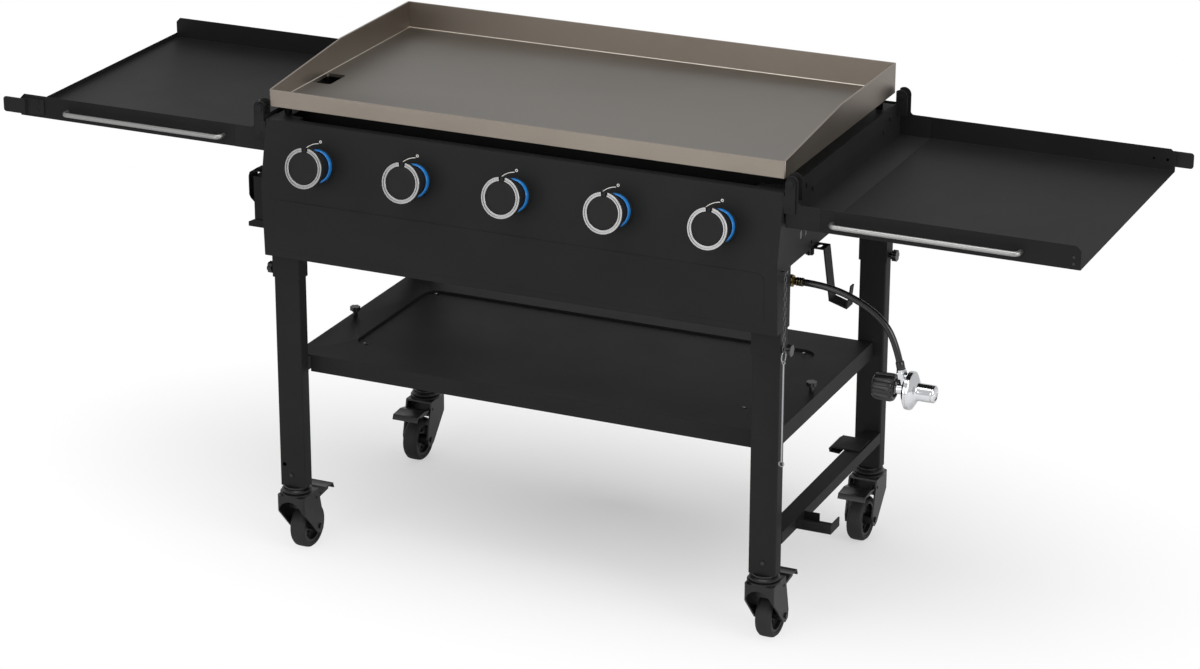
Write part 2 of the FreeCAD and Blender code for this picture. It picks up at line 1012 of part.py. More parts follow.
# Side shelf, drawn for the right side: hinge channel, tray, handle and latch
def ear(y, height_from):
    hole = rod(
        Vector(pivot_x, y - 1, -pivot_drop), Y_AXIS, pin_radius + running_gap, sheet + 2
    )
    blade = box(
        channel_inner_x, pivot_x + ear_radius, y, y + sheet, height_from, -pivot_drop
    )
    head = rod(Vector(pivot_x, y, -pivot_drop), Y_AXIS, ear_radius, sheet)
    keep = box(
        channel_inner_x,
        pivot_x + 2 * ear_radius,
        y - 1,
        y + 2 * sheet,
        height_from - 1,
        2 * ear_radius - pivot_drop,
    )
    return joined([blade, head]).cut(hole).common(keep)


def hinge_channel():
    y0 = shelf_front_y
    y1 = shelf_back_y
    low = -shelf_floor_drop
    wall_top = low + shelf_wall_height
    floor = box(channel_inner_x, channel_outer_x, y0, y1, low, low + sheet)
    inner = box(
        channel_inner_x,
        channel_inner_x + sheet,
        y0,
        y1,
        low,
        -channel_wall_drop,
    )
    front = box(channel_inner_x, channel_outer_x, y0, y0 + sheet, low, wall_top)
    ears = [
        ear(y0, wall_top - 8),
        ear(y1 - sheet, wall_top - 8),
        ear(pin_end_y - 2 - sheet, -channel_wall_drop - 20),
        ear(tray_depth - pin_end_y + 2, -channel_wall_drop - 20),
    ]
    channel = joined([floor, inner, front, mirrored_depth(front)] + ears)
    channel = rounded(channel, 6.0, ear_corner)
    return joined([channel] + wall_bolt_heads())


def ear_corner(edge):
    middle = edge_middle(edge)
    return (
        runs_along(edge, Y_AXIS)
        and abs(middle.x - pivot_x - ear_radius) < 0.1
        and abs(middle.z + shelf_floor_drop - shelf_wall_height) < 0.1
        and edge.Length < 3
    )


def wall_bolts():
    return [
        (78.0, -30.0),
        (105.0, -44.0),
        (tray_depth - 42.0, -32.0),
        (tray_depth - 72.0, -46.0),
    ]


def wall_bolt_heads():
    heads = []
    for y, z in wall_bolts():
        start = Vector(channel_inner_x - 1, y, z)
        heads.append(rod(start, X_AXIS, 2.6, 1))
        heads.append(rod(start + X_AXIS * (sheet + 1), X_AXIS, 5.0, 2.2))
    return heads


def shelf_tray(with_lip):
    y0 = shelf_front_y
    y1 = shelf_back_y
    low = -shelf_floor_drop
    high = low + shelf_wall_height
    x0 = channel_outer_x
    x1 = shelf_outer_x
    floor = box(x0, x1, y0, y1, low, low + sheet)
    front_points = [
        Vector(x0, y0, low),
        Vector(x1, y0, low),
        Vector(x1, y0, high - 8),
        Vector(x1 - 8, y0, high),
        Vector(x0, y0, high),
    ]
    front = prism(front_points, Vector(0, sheet, 0))
    parts = [floor, front, mirrored_depth(front)]
    if with_lip:
        parts.append(box(x1 - sheet, x1, y0, y1, low, low + shelf_lip))
    return joined(parts)


handle_x0 = 541.0
handle_x1 = 845.0
handle_drop = 59.0


def shelf_handle():
    y = shelf_front_y - handle_reach
    z = -handle_drop
    route = [
        Vector(handle_x0, shelf_front_y, z),
        Vector(handle_x0, y, z),
        Vector(handle_x1, y, z),
        Vector(handle_x1, shelf_front_y, z),
    ]
    return bent_rod(route, handle_radius, 9.0)


latch_length = 38.0
latch_x1 = shelf_outer_x + 28.0
latch_z0 = -70.0
latch_z1 = -43.5


def latch_plate():
    # A stepped plate: flat on the wall, then standing off past the shelf's end
    y = shelf_front_y
    inner = box(
        shelf_outer_x - latch_length - 10,
        shelf_outer_x - 12,
        y - plate,
        y,
        latch_z0,
        latch_z1,
    )
    step = box(
        shelf_outer_x - 12 - plate,
        shelf_outer_x - 12,
        y - latch_reach - plate,
        y,
        latch_z0,
        latch_z1,
    )
    outer = rounded(
        box(
            shelf_outer_x - 12 - plate,
            latch_x1,
            y - latch_reach - plate,
            y - latch_reach,
            latch_z0,
            latch_z1,
        ),
        5.0,
        lambda edge: runs_along(edge, Y_AXIS) and edge_middle(edge).x > latch_x1 - 1,
    )
    rivets = [
        rod(
            Vector(shelf_outer_x - latch_length + 2, y - plate - 1.5, z),
            Y_AXIS,
            3.0,
            1.5,
        )
        for z in (latch_z0 + 6, latch_z1 - 6)
    ]
    return joined([inner, step, outer] + rivets)


# Tank hook: a strap with a slotted top, a sloping foot and a prong
hook_width = 27.0
hook_y0 = 132.0
hook_top_x = 475.0
hook_slot_inset = 11.5
hook_low_x = 486.5
hook_drop = 241.5
hook_reach = 29.0
hook_slot_y0 = hook_y0 + 4.5
hook_slot_length = 18.0
hook_stud_x = leg_outer_x - 8.0
hook_stud_y = hook_slot_y0 + stud_radius + running_gap


def tank_hook():
    z = -side_bottom_drop - plate / 2
    low = -hook_drop
    path = [
        Vector(side_outer_x - side_flange + 8, hook_y0, z),
        Vector(hook_top_x, hook_y0, z),
        Vector(hook_low_x, hook_y0, low),
        Vector(hook_low_x + hook_reach, hook_y0, low - 9),
        Vector(hook_low_x + hook_reach + 4, hook_y0, low + 26),
    ]
    strap = bent_strip(path, plate, Vector(0, hook_width, 0))
    cuts = []
    slots = (
        (hook_top_x - hook_slot_inset, 4.0),
        (hook_stud_x, stud_radius + running_gap),
    )
    for x, half in slots:
        corners = rect_xy(
            x - half, x + half, hook_slot_y0, hook_slot_y0 + hook_slot_length, z - 10
        )
        cuts.append(rounded_plate(corners, Vector(0, 0, 20), half - 0.01))
    x0 = hook_low_x + hook_reach - 6
    for y0 in (hook_y0 - 1, hook_y0 + hook_width - 7):
        cuts.append(box(x0, x0 + 20, y0, y0 + 8, low + 4, low + 40))
    return without(strap, cuts)


# Thumb knobs and their studs
knob_lobes = 6


def thumb_knob(start, axis, radius, neck, head, stud):
    side = X_AXIS if abs(axis.x) < 0.5 else Z_AXIS
    across = axis.cross(side)
    grip = rod(start + axis * neck, axis, radius, head)
    cuts = []
    for k in range(knob_lobes):
        angle = 2 * math.pi * k / knob_lobes
        reach = radius + 1.8
        spot = side * (math.cos(angle) * reach) + across * (math.sin(angle) * reach)
        cuts.append(rod(start + axis * (neck - 1) + spot, axis, 3.2, head + 2))
    grip = without(grip, cuts)
    collar = rod(start, axis, radius * 0.45, neck + 1)
    shank = rod(start - axis * stud, axis, stud_radius, stud + 1)
    return joined([grip, collar, shank])


def thumb_knobs():
    wall = leg_outer_x + tube_wall
    leg_knob = thumb_knob(
        Vector(wall, front_leg_y, -stud_z), X_AXIS, 10.0, 6.0, 8.0, tube_wall
    )
    pieces = four_corners(leg_knob, legs_middle)
    top = -lower_shelf_top_drop
    for x in (-shelf_screw_x, shelf_screw_x):
        pieces.append(
            thumb_knob(Vector(x, shelf_screw_y, top), Z_AXIS, 9.0, 12.0, 7.0, plate)
        )
    low = Vector(hook_stud_x, hook_stud_y, -side_bottom_drop - plate)
    pieces.append(thumb_knob(low, Vector(0, 0, -1), 7.0, 3.0, 10.0, plate))
    return pieces


# Grease cup and its holder under the drain
cup_x0 = -553.0
cup_x1 = -430.0
cup_y0 = 105.0
cup_y1 = 217.0
cup_top = -167.0
cup_bottom = -256.3
cup_wall = 1.5
cup_cover = 25.0
cradle_gap = 0.2
cradle_side = 14.0
cradle_x0 = -565.0
cradle_x1 = cup_x1 + 2.0
strap_width = 30.0


def grease_cup():
    # A drawer with a short cover and a strap handle at its outer end
    body = box(cup_x0, cup_x1, cup_y0, cup_y1, cup_bottom, cup_top)
    hollow = box(
        cup_x0 + cup_wall,
        cup_x1 - cup_wall,
        cup_y0 + cup_wall,
        cup_y1 - cup_wall,
        cup_bottom + cup_wall,
        cup_top - cup_wall,
    )
    mouth = box(
        cup_x0 + cup_cover,
        cup_x1 - cup_wall,
        cup_y0 + cup_wall,
        cup_y1 - cup_wall,
        cup_top - cup_wall - 1,
        cup_top + 1,
    )
    half = cup_wall / 2
    path = [
        Vector(cup_x0 + cup_cover - 3, cup_y0, cup_top),
        Vector(cup_x0 + cup_cover - 3, cup_y0, cup_top + 9.5),
        Vector(cup_x0, cup_y0, cup_top + 9.5),
        Vector(cup_x0 - 7, cup_y0, cup_top + 5.5),
        Vector(cup_x0 - 9, cup_y0, cup_top - 1.5),
        Vector(cup_x0 - 9, cup_y0, cup_top - 34),
        Vector(cup_x0 - 6, cup_y0, cup_top - 40),
        Vector(cup_x0 + half, cup_y0, cup_top - 46),
    ]
    strap = bent_strip(path, cup_wall, Vector(0, strap_width, 0))
    inside = box(cup_x0 + 1, cup_x0 + 10, cup_y0 - 1, cup_y1, cup_top - 60, cup_top - 2)
    return joined([body.cut(hollow).cut(mouth), strap.cut(inside)])


def cup_cradle():
    # A tray under the cup, hung from the side panel's bottom flange
    y0 = cup_y0 - cradle_gap - sheet
    y1 = cup_y1 + cradle_gap + sheet
    floor_z = cup_bottom - cradle_gap
    low = floor_z - sheet
    high = floor_z + cradle_side - sheet
    floor = box(cradle_x0, cradle_x1, y0, y1, low, floor_z)
    outline = [
        Vector(cradle_x0, y0, low),
        Vector(cradle_x1, y0, low),
        Vector(cradle_x1, y0, high),
        Vector(cup_x0, y0, high),
        Vector(cradle_x0, y0, high - 6),
    ]
    front = prism(outline, Vector(0, sheet, 0))
    back = front.copy()
    back.translate(Vector(0, y1 - y0 - sheet, 0))
    top = -side_bottom_drop
    inner = box(cradle_x1 - sheet, cradle_x1, y0, y1, low, top - sheet)
    tab = box(
        -side_outer_x + side_flange - 8, cradle_x1, y0, y1, top - sheet, top
    )
    open_mouth = box(
        -side_outer_x,
        cradle_x1 - sheet,
        drain_y0 - 8,
        drain_y0 + drain_length + 8,
        top - 5,
        top + 1,
    )
    return joined([floor, front, back, inner, tab]).cut(open_mouth)


# Casters: stem, fork, wheel and brake pedal, drawn at the front right leg
def caster_origin():
    return Vector(leg_mid_x, front_leg_y, leg_bottom_z - tray_bottom_z)


washer = 3.5


def caster_stem():
    o = caster_origin()
    plug = box(
        leg_inner_x + tube_wall,
        leg_outer_x - tube_wall,
        leg_front_y + tube_wall,
        leg_front_y + leg_y - tube_wall,
        o.z,
        o.z + 18,
    )
    disc = rod(o - Z_AXIS * washer, Z_AXIS, 21.0, washer)
    pin = rod(o - Z_AXIS * (washer + 13), Z_AXIS, stem_pin_radius, washer + 14)
    return joined([plug, disc, pin])


def axle_centre():
    o = caster_origin()
    floor = -tray_bottom_z
    return Vector(o.x, o.y + caster_trail, floor + wheel_radius)


arm_thick = 3.0
arm_half = 26.0
hood_front = 26.5
deck_drop = 11.0
hub_radius = 9.0
hub_side_gap = 0.4


def fork_deck():
    return caster_origin().z - washer - 0.3 - deck_drop


def fork_shell(o, axle, deck):
    # Hood and arms: a bent plate with an arch at the front, open below
    outline = [
        Vector(o.x - arm_half, o.y - hood_front, deck),
        Vector(o.x - arm_half, o.y + 30, deck),
        Vector(o.x - arm_half, axle.y + 13, axle.z + 6),
        Vector(o.x - arm_half, axle.y + 10, axle.z - 8),
        Vector(o.x - arm_half, axle.y, axle.z - 12),
        Vector(o.x - arm_half, axle.y - 10, axle.z - 8),
        Vector(o.x - arm_half, o.y - hood_front, deck - 26),
    ]
    shell = prism(outline, Vector(2 * arm_half, 0, 0))
    shell = rounded(
        shell,
        7.0,
        lambda edge: runs_along(edge, Z_AXIS) and edge_middle(edge).y < o.y - 20,
    )
    inner_half = arm_half - arm_thick
    room = box(
        o.x - inner_half,
        o.x + inner_half,
        o.y - hood_front + arm_thick,
        o.y + 100,
        axle.z - 60,
        deck - arm_thick,
    )
    arch = rod(
        Vector(o.x, o.y - 60, deck - 10 - inner_half), Y_AXIS, inner_half, 60
    )
    return without(shell, [room, arch])


def caster_fork():
    o = caster_origin()
    axle = axle_centre()
    deck = fork_deck()
    top = deck + deck_drop
    cap = revolved(
        [
            (0, 0),
            (23, 0),
            (25.5, -2),
            (25.5, -5),
            (24, -6.5),
            (fork_radius, -7.5),
            (fork_radius, -deck_drop),
            (0, -deck_drop),
        ],
        Vector(o.x, o.y, top),
        Z_AXIS,
        X_AXIS,
    )
    axle_pin = rod(
        Vector(o.x - arm_half - 2.5, axle.y, axle.z),
        X_AXIS,
        axle_radius,
        2 * arm_half + 5,
    )
    bore = rod(
        Vector(o.x, o.y, top - 14.5), Z_AXIS, stem_pin_radius + running_gap, 16
    )
    pivot = pedal_pivot()
    pins = []
    for x in (-arm_half - 1.0, arm_half - arm_thick - 3.0):
        start = Vector(o.x + x, pivot.y, pivot.z)
        pins.append(rod(start, X_AXIS, pedal_pin_radius, arm_thick + 4.0))
    shell = fork_shell(o, axle, deck)
    return joined([cap, shell, axle_pin] + pins).cut(bore)


spoke_count = 5


def caster_wheel():
    start = axle_centre()
    half = wheel_width / 2
    tyre = revolved(
        [
            (wheel_radius - 9, -half + 1),
            (wheel_radius - 4, -half),
            (wheel_radius - 0.6, -half + 4),
            (wheel_radius, -half + 8),
            (wheel_radius, half - 8),
            (wheel_radius - 0.6, half - 4),
            (wheel_radius - 4, half),
            (wheel_radius - 9, half - 1),
        ],
        start,
        X_AXIS,
        Z_AXIS,
    )
    rim_in = wheel_radius - 14
    hub_half = arm_half - arm_thick - hub_side_gap
    hub = revolved(
        [
            (axle_radius + running_gap, -hub_half),
            (hub_radius, -hub_half),
            (hub_radius, -4),
            (rim_in, -4),
            (rim_in, -half + 2),
            (wheel_radius - 9, -half + 2),
            (wheel_radius - 9, half - 2),
            (rim_in, half - 2),
            (rim_in, 4),
            (hub_radius, 4),
            (hub_radius, hub_half),
            (axle_radius + running_gap, hub_half),
        ],
        start,
        X_AXIS,
        Z_AXIS,
    )
    cuts = []
    middle = (rim_in + hub_radius) / 2
    for k in range(spoke_count):
        angle = 2 * math.pi * (k + 0.5) / spoke_count
        spot = Vector(0, math.cos(angle), math.sin(angle)) * middle
        cuts.append(rod(start + spot - X_AXIS * 10, X_AXIS, 6.5, 20))
    return [tyre, without(hub, cuts)]


pedal_half = 25.0
pedal_reach = 86.0
pedal_pivot_y = 24.0
pedal_pivot_drop = 30.0
pedal_pin_radius = 2.5
pedal_cheek = 2.4


def pedal_pivot():
    o = caster_origin()
    return Vector(o.x, o.y + pedal_pivot_y, o.z - pedal_pivot_drop)


def brake_pedal():
    o = caster_origin()
    pivot = pedal_pivot()
    start = o.y + 41
    path = [
        Vector(o.x - pedal_half, start, o.z - 28),
        Vector(o.x - pedal_half, start + 16, o.z - 25),
        Vector(o.x - pedal_half, o.y + pedal_reach - 3, o.z - 27),
        Vector(o.x - pedal_half, o.y + pedal_reach, o.z - 34),
    ]
    top = bent_strip(path, plate, Vector(2 * pedal_half, 0, 0))
    outline = [
        Vector(0, pivot.y - 7, pivot.z - 5),
        Vector(0, pivot.y + 9, pivot.z - 6),
        Vector(0, o.y + 70, o.z - 32),
        Vector(0, o.y + 70, o.z - 26),
        Vector(0, start + 16, o.z - 25),
        Vector(0, start, o.z - 28),
        Vector(0, pivot.y - 4, pivot.z + 6),
    ]
    cheek_outer = arm_half - arm_thick - 0.2
    cheeks = []
    for x in (o.x - cheek_outer, o.x + cheek_outer - pedal_cheek):
        shifted = [point + X_AXIS * x for point in outline]
        cheeks.append(prism(shifted, Vector(pedal_cheek, 0, 0)))
    hole = rod(
        Vector(o.x - 40, pivot.y, pivot.z), X_AXIS, pedal_pin_radius + running_gap, 80
    )
    return joined([top] + cheeks).cut(hole)


def at_corner(shape, corner):
    if corner[1] == "left":
        shape = mirrored(shape)
    if corner[0] == "rear":
        shape = mirrored_depth(shape, legs_middle)
    return shape


corners = [("front", "left"), ("front", "right"), ("rear", "left"), ("rear", "right")]

# Gas hose, regulator and hand wheel
hose_radius = 5.5
hose_y = 45.0
inlet_x = 446.0
inlet_z = -183.0
fitting_length = 29.0
hose_start_x = inlet_x + fitting_length


def hose_points():
    # Control points of the hose's centre line, from the fitting to the regulator
    return [
        Vector(hose_start_x, hose_y, inlet_z),
        Vector(hose_start_x + 39, hose_y, inlet_z),
        Vector(hose_start_x + 95, hose_y, inlet_z - 17),
        Vector(hose_start_x + 140, hose_y, inlet_z - 47),
        Vector(hose_start_x + 160, hose_y, inlet_z - 89),
        Vector(hose_start_x + 167, hose_y, inlet_z - 120),
    ]


def smooth_tube(points, radius):
    # Each corner is cut back by a share of its shorter run
    cuts = []
    for a, b, c in zip(points, points[1:], points[2:]):
        cut = 0.45 * min((a - b).Length, (c - b).Length)
        turn = math.pi - (a - b).getAngle(c - b)
        print("bend radius", round(cut / math.tan(turn / 2), 1))
        cuts.append(cut)
    solid, length = rod_along(points, radius, cuts)
    expected = math.pi * radius ** 2 * length
    ratio = round(solid.Volume / expected, 4)
    print("hose length", round(length, 1), "volume ratio", ratio)
    return solid


def gas_inlet():
    nut = prism(
        [
            Vector(
                inlet_x,
                hose_y + 10.5 * math.cos(math.radians(60 * k + 30)),
                inlet_z + 10.5 * math.sin(math.radians(60 * k + 30)),
            )
            for k in range(6)
        ],
        Vector(12, 0, 0),
    )
    neck = rod(Vector(inlet_x + 12, hose_y, inlet_z), X_AXIS, 6.2, 5)
    ferrule = rod(Vector(inlet_x + 17, hose_y, inlet_z), X_AXIS, 7.0, 12)
    return joined([nut, neck, ferrule])


collar_length = 24.0
body_radius = 31.0
hand_wheel_length = 40.0


def hose_end_direction():
    points = hose_points()
    run = points[-1] - points[-2]
    run.normalize()
    return run


def regulator_centre():
    end = hose_points()[-1] + hose_end_direction() * collar_length
    return Vector(end.x + 12, hose_y, end.z - 10)


def regulator():
    end = hose_points()[-1]
    centre = regulator_centre()
    collar = rod(end, hose_end_direction(), 7.5, collar_length)
    body = revolved(
        [
            (0, -12),
            (24, -12),
            (28, -9),
            (body_radius, -5),
            (body_radius, 5),
            (28, 10),
            (20, 14),
            (15.0, 16),
            (15.0, 40),
            (12.0, 43),
            (0, 43),
        ],
        centre,
        X_AXIS,
        Z_AXIS,
    )
    neck = rod(centre - X_AXIS * 22, X_AXIS, 12.0, 12)
    spigot_start = hand_wheel_length + 20
    spigot = rod(centre - X_AXIS * spigot_start, X_AXIS, 5.0, spigot_start - 15)
    return joined([collar, body, neck, spigot])


def regulator_wheel():
    centre = regulator_centre()
    start = centre - X_AXIS * (hand_wheel_length + 22.6)
    bore = 5.0 + running_gap
    length = hand_wheel_length
    body = revolved(
        [
            (bore, 0),
            (18, 0),
            (22, 3),
            (24, 8),
            (25, length - 8),
            (23, length - 1),
            (12, length),
            (bore, length),
        ],
        start,
        X_AXIS,
        Z_AXIS,
    )
    cuts = []
    for k in range(12):
        angle = 2 * math.pi * k / 12
        spot = Vector(0, math.cos(angle), math.sin(angle)) * 26.5
        cuts.append(rod(start + spot - X_AXIS, X_AXIS, 3.4, length + 2))
    return without(body, cuts)


# Lighting rod on its chain
chain_x = panel_half + 6.5
chain_y = -12.5
chain_top = -148.0
link_count = 16
link_pitch = 8.4
link_half = 6.2
link_wire = 1.6
ring_radius = 9.4
ring_wire = 0.9
rod_bottom = -470.0


def chain_eye():
    post = rod(Vector(panel_half, chain_y, chain_top), X_AXIS, ring_wire, 9.0)
    head = rod(Vector(panel_half + 8.5, chain_y, chain_top), X_AXIS, 3.0, 1.5)
    return joined([post, head])


def link(z, turned):
    wide = 2.6
    thick = 0.9
    gap = wide - link_wire
    inner = link_half - link_wire
    half_x, half_y = (wide, thick) if turned else (thick, wide)
    gap_x, gap_y = (gap, 3) if turned else (3, gap)
    frame = box(
        chain_x - half_x,
        chain_x + half_x,
        chain_y - half_y,
        chain_y + half_y,
        z - link_half,
        z + link_half,
    )
    opening = box(
        chain_x - gap_x,
        chain_x + gap_x,
        chain_y - gap_y,
        chain_y + gap_y,
        z - inner,
        z + inner,
    )
    return frame.cut(opening)


def link_z(k):
    first = chain_top + ring_wire + 0.1 - (link_half - link_wire)
    return first - link_pitch * k


def lighting_chain():
    return [link(link_z(k), k % 2 == 1) for k in range(link_count)]


def ring_centre_z():
    lowest = link_z(link_count - 1) - (link_half - link_wire)
    return lowest + ring_wire + 0.1 - ring_radius


def lighting_rod():
    z = ring_centre_z()
    ring = wire_ring(
        Vector(chain_x, chain_y, z), X_AXIS, Y_AXIS, ring_radius, ring_wire
    )
    eye = 2.4
    eye_z = z - ring_radius - eye + ring_wire * 2 + 0.2
    top_eye = wire_ring(
        Vector(chain_x, chain_y, eye_z), Y_AXIS, X_AXIS, eye, ring_wire
    )
    foot = Vector(chain_x, chain_y, rod_bottom)
    bar = rod(foot, Z_AXIS, 1.3, eye_z - eye - rod_bottom)
    low_eye = wire_ring(foot - Z_AXIS * 3.0, Y_AXIS, X_AXIS, 3.0, ring_wire)
    return [ring, joined([top_eye, bar, low_eye])]


# Screws on the front legs
def frame_screws():
    place = Vector(-leg_mid_x - 2, leg_front_y - 1.8, -leg_screw_drop)
    screw = rod(place, Y_AXIS, 3.6, 1.8)
    return [screw, mirrored(screw)]


os.makedirs("parts", exist_ok=True)
save("griddle_plate", [griddle_plate()])
save("control_panel", [control_panel()])
save("left_side_panel", [left_side_panel()])
save("right_side_panel", [right_side_panel()])
save("rear_panel", [rear_panel()])
save("front_heat_shield", [front_heat_shield()])
save("gas_manifold", [manifold()])
save("gas_valves", [gas_valve(i) for i in range(knob_count)])
save("burners", [burner(i) for i in range(knob_count)])
save("knob_bezels", [knob_bezel(i) for i in range(knob_count)])
for i in range(knob_count):
    save("knob_" + str(i + 1), knob_pieces(i))
    save("valve_plunger_" + str(i + 1), [valve_plunger(i)])
save("leg_sleeves", four_corners(leg_sleeve(), legs_middle))
for corner in corners:
    place = corner[0] + "_" + corner[1]
    save("leg_" + place, [at_corner(leg(), corner)])
    save("caster_fork_" + place, [at_corner(caster_fork(), corner)])
    save("caster_wheel_" + place, [at_corner(s, corner) for s in caster_wheel()])
    save("brake_pedal_" + place, [at_corner(brake_pedal(), corner)])
save("caster_stems", four_corners(caster_stem(), legs_middle))
save("lower_rails", [side_rail(), mirrored(side_rail())] + tank_rail_pieces())
save("lower_shelf", [lower_shelf()])
save("hinge_brackets", four_corners(hinge_bracket()) + four_corners(hinge_pin()))
save("frame_screws", frame_screws() + [chain_eye()])
save("thumb_knobs", thumb_knobs())
save("cup_cradle", [cup_cradle()])
save("grease_cup", [grease_cup()])
save("tank_hook", [tank_hook()])
right_channel = hinge_channel()
save("right_hinge_channel", [right_channel])
save("left_hinge_channel", [mirrored(right_channel)])
save("right_shelf_tray", [shelf_tray(False)])
save("left_shelf_tray", [mirrored(shelf_tray(True))])
save("right_handle", [shelf_handle()])
save("left_handle", [mirrored(shelf_handle())])
save("left_latch", [mirrored(latch_plate())])
save("right_latch", [mirrored_depth(latch_plate())])
hose = smooth_tube(hose_points(), hose_radius)
save("gas_hose", [hose])
save("gas_inlet", [gas_inlet()])
save("regulator", [regulator()])
save("regulator_wheel", [regulator_wheel()])
save("lighting_chain", lighting_chain())
save("lighting_rod", lighting_rod())
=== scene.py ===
import json
import math

import bmesh
import bpy
import numpy as np
from mathutils import Matrix, Vector

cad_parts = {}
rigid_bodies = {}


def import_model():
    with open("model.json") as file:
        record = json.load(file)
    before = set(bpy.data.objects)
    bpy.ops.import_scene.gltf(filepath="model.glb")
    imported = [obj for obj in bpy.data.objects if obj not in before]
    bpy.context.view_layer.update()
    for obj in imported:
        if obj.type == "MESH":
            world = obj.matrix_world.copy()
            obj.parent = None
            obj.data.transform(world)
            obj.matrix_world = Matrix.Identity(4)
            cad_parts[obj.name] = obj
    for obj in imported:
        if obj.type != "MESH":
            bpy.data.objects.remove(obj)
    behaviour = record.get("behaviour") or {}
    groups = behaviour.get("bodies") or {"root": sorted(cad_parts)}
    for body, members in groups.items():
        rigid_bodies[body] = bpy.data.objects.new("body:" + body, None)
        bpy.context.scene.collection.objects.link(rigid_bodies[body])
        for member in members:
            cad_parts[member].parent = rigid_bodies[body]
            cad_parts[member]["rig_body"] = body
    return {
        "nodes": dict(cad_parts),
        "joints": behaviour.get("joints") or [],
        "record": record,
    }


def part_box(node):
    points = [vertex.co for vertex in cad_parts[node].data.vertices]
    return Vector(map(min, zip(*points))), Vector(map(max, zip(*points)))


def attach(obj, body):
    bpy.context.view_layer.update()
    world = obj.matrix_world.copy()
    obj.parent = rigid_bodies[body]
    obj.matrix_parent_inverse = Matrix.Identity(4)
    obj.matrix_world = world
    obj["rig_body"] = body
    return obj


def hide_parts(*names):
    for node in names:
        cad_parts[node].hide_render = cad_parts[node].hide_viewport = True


bl_info = {
    "name": "Outdoor Griddle Station Looks",
    "version": (1, 0, 0),
    "blender": (4, 5, 0),
    "location": "3D View > Sidebar > Griddle Station",
    "description": "Finishes, small pieces, camera and stage for an outdoor gas griddle station",
    "category": "Object",
}

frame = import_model()
NODES = frame["nodes"]
NODE_SLOTS = {part["node"]: part["material_slot"] for part in frame["record"]["subparts"]}
JOINTS = {joint["name"]: joint for joint in frame["joints"]}
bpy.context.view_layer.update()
KNOB_NUMBERS = range(1, 6)
SIDES = ("left", "right")
CORNERS = ("front_left", "front_right", "rear_left", "rear_right")
X_AXIS = np.array((1.0, 0.0, 0.0))
Y_AXIS = np.array((0.0, 1.0, 0.0))
Z_AXIS = np.array((0.0, 0.0, 1.0))

# The griddle's tray, from which most places are measured
FRONT_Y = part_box("griddle_plate")[0].y
TRAY_BOTTOM = 0.806
TRAY_WIDTH = 0.914
TRAY_DEPTH = 0.5035
TRAY_WALL = 0.0035
TRAY_FLOOR = 0.005


def tray_point(x, y, z):
    """A place given in millimetres from the griddle's middle, front face and bottom."""
    return np.array((x / 1000, FRONT_Y + y / 1000, TRAY_BOTTOM + z / 1000))


# Colours and settings
def shade(red, green, blue):
    """Linear colour of a colour written in screen values from 0 to 255, by the sRGB curve."""
    screen = np.array((red, green, blue)) / 255
    low = screen / 12.92
    high = ((screen + 0.055) / 1.055) ** 2.4
    return tuple(float(v) for v in np.where(screen <= 0.04045, low, high))


def colour_property(label, description, default):
    return bpy.props.FloatVectorProperty(
        name=label,
        description=description,
        subtype="COLOR",
        size=3,
        min=0.0,
        max=1.0,
        default=default,
    )


def length_property(label, description, default):
    return bpy.props.FloatProperty(
        name=label,
        description=description,
        default=default,
        min=0.0,
        precision=5,
        unit="LENGTH",
    )


class StationColours(bpy.types.PropertyGroup):
    """Colours of the station's finishes."""

    powder: colour_property("Powder coat", "Frame, legs and panels", shade(34, 34, 34))
    shelf: colour_property("Shelf coat", "Side shelves", shade(30, 30, 30))
    caster: colour_property("Caster steel", "Forks, brake pedals and black screws", shade(20, 20, 21))
    # The walls and the floor are lit and shaded copies of one steel: the floor's darker colour is painted
    # shade
    griddle: colour_property("Griddle steel", "Walls of the griddle", shade(150, 141, 131))
    griddle_floor: colour_property("Griddle floor", "The cooking surface", shade(131, 127, 122))
    # The seam is lighter than the steel: a real weld seam with a painted highlight
    seam: colour_property("Weld seam", "Seams inside the griddle", shade(205, 198, 188))
    dark_steel: colour_property("Dark steel", "Chain", shade(104, 104, 106))
    stainless: colour_property("Stainless", "Handles and burners", shade(158, 158, 157))
    silver: colour_property("Silver ring", "Rings on the burner knobs", shade(150, 150, 150))
    zinc: colour_property("Zinc", "Screws, manifold and lighting rod", shade(168, 169, 171))
    chrome: colour_property("Bright plating", "Regulator", shade(222, 223, 226))
    brass: colour_property("Brass", "Gas fittings", shade(150, 130, 84))
    dark_brass: colour_property("Dark brass", "Hose ferrule", shade(76, 72, 54))
    knob: colour_property("Knob plastic", "Burner knobs", shade(32, 32, 32))
    plastic: colour_property("Black plastic", "Hand wheel, thumb knobs and wheel hubs", shade(24, 24, 24))
    blue: colour_property("Blue plastic", "Rings behind the knobs", shade(24, 114, 187))
    rubber: colour_property("Wheel rubber", "Treads of the wheels", shade(38, 38, 38))
    hose: colour_property("Hose rubber", "Gas hose", shade(20, 20, 20))
    # Painted shade: near-black colour of discs that stand for the dark inside of small holes
    hole: colour_property("Dark hole", "Inside of small holes", shade(4, 4, 4))
    print_white: colour_property("Print", "Marks on the control panel", shade(225, 222, 216))
    floor: colour_property("Floor", "Studio floor", shade(247, 247, 247))


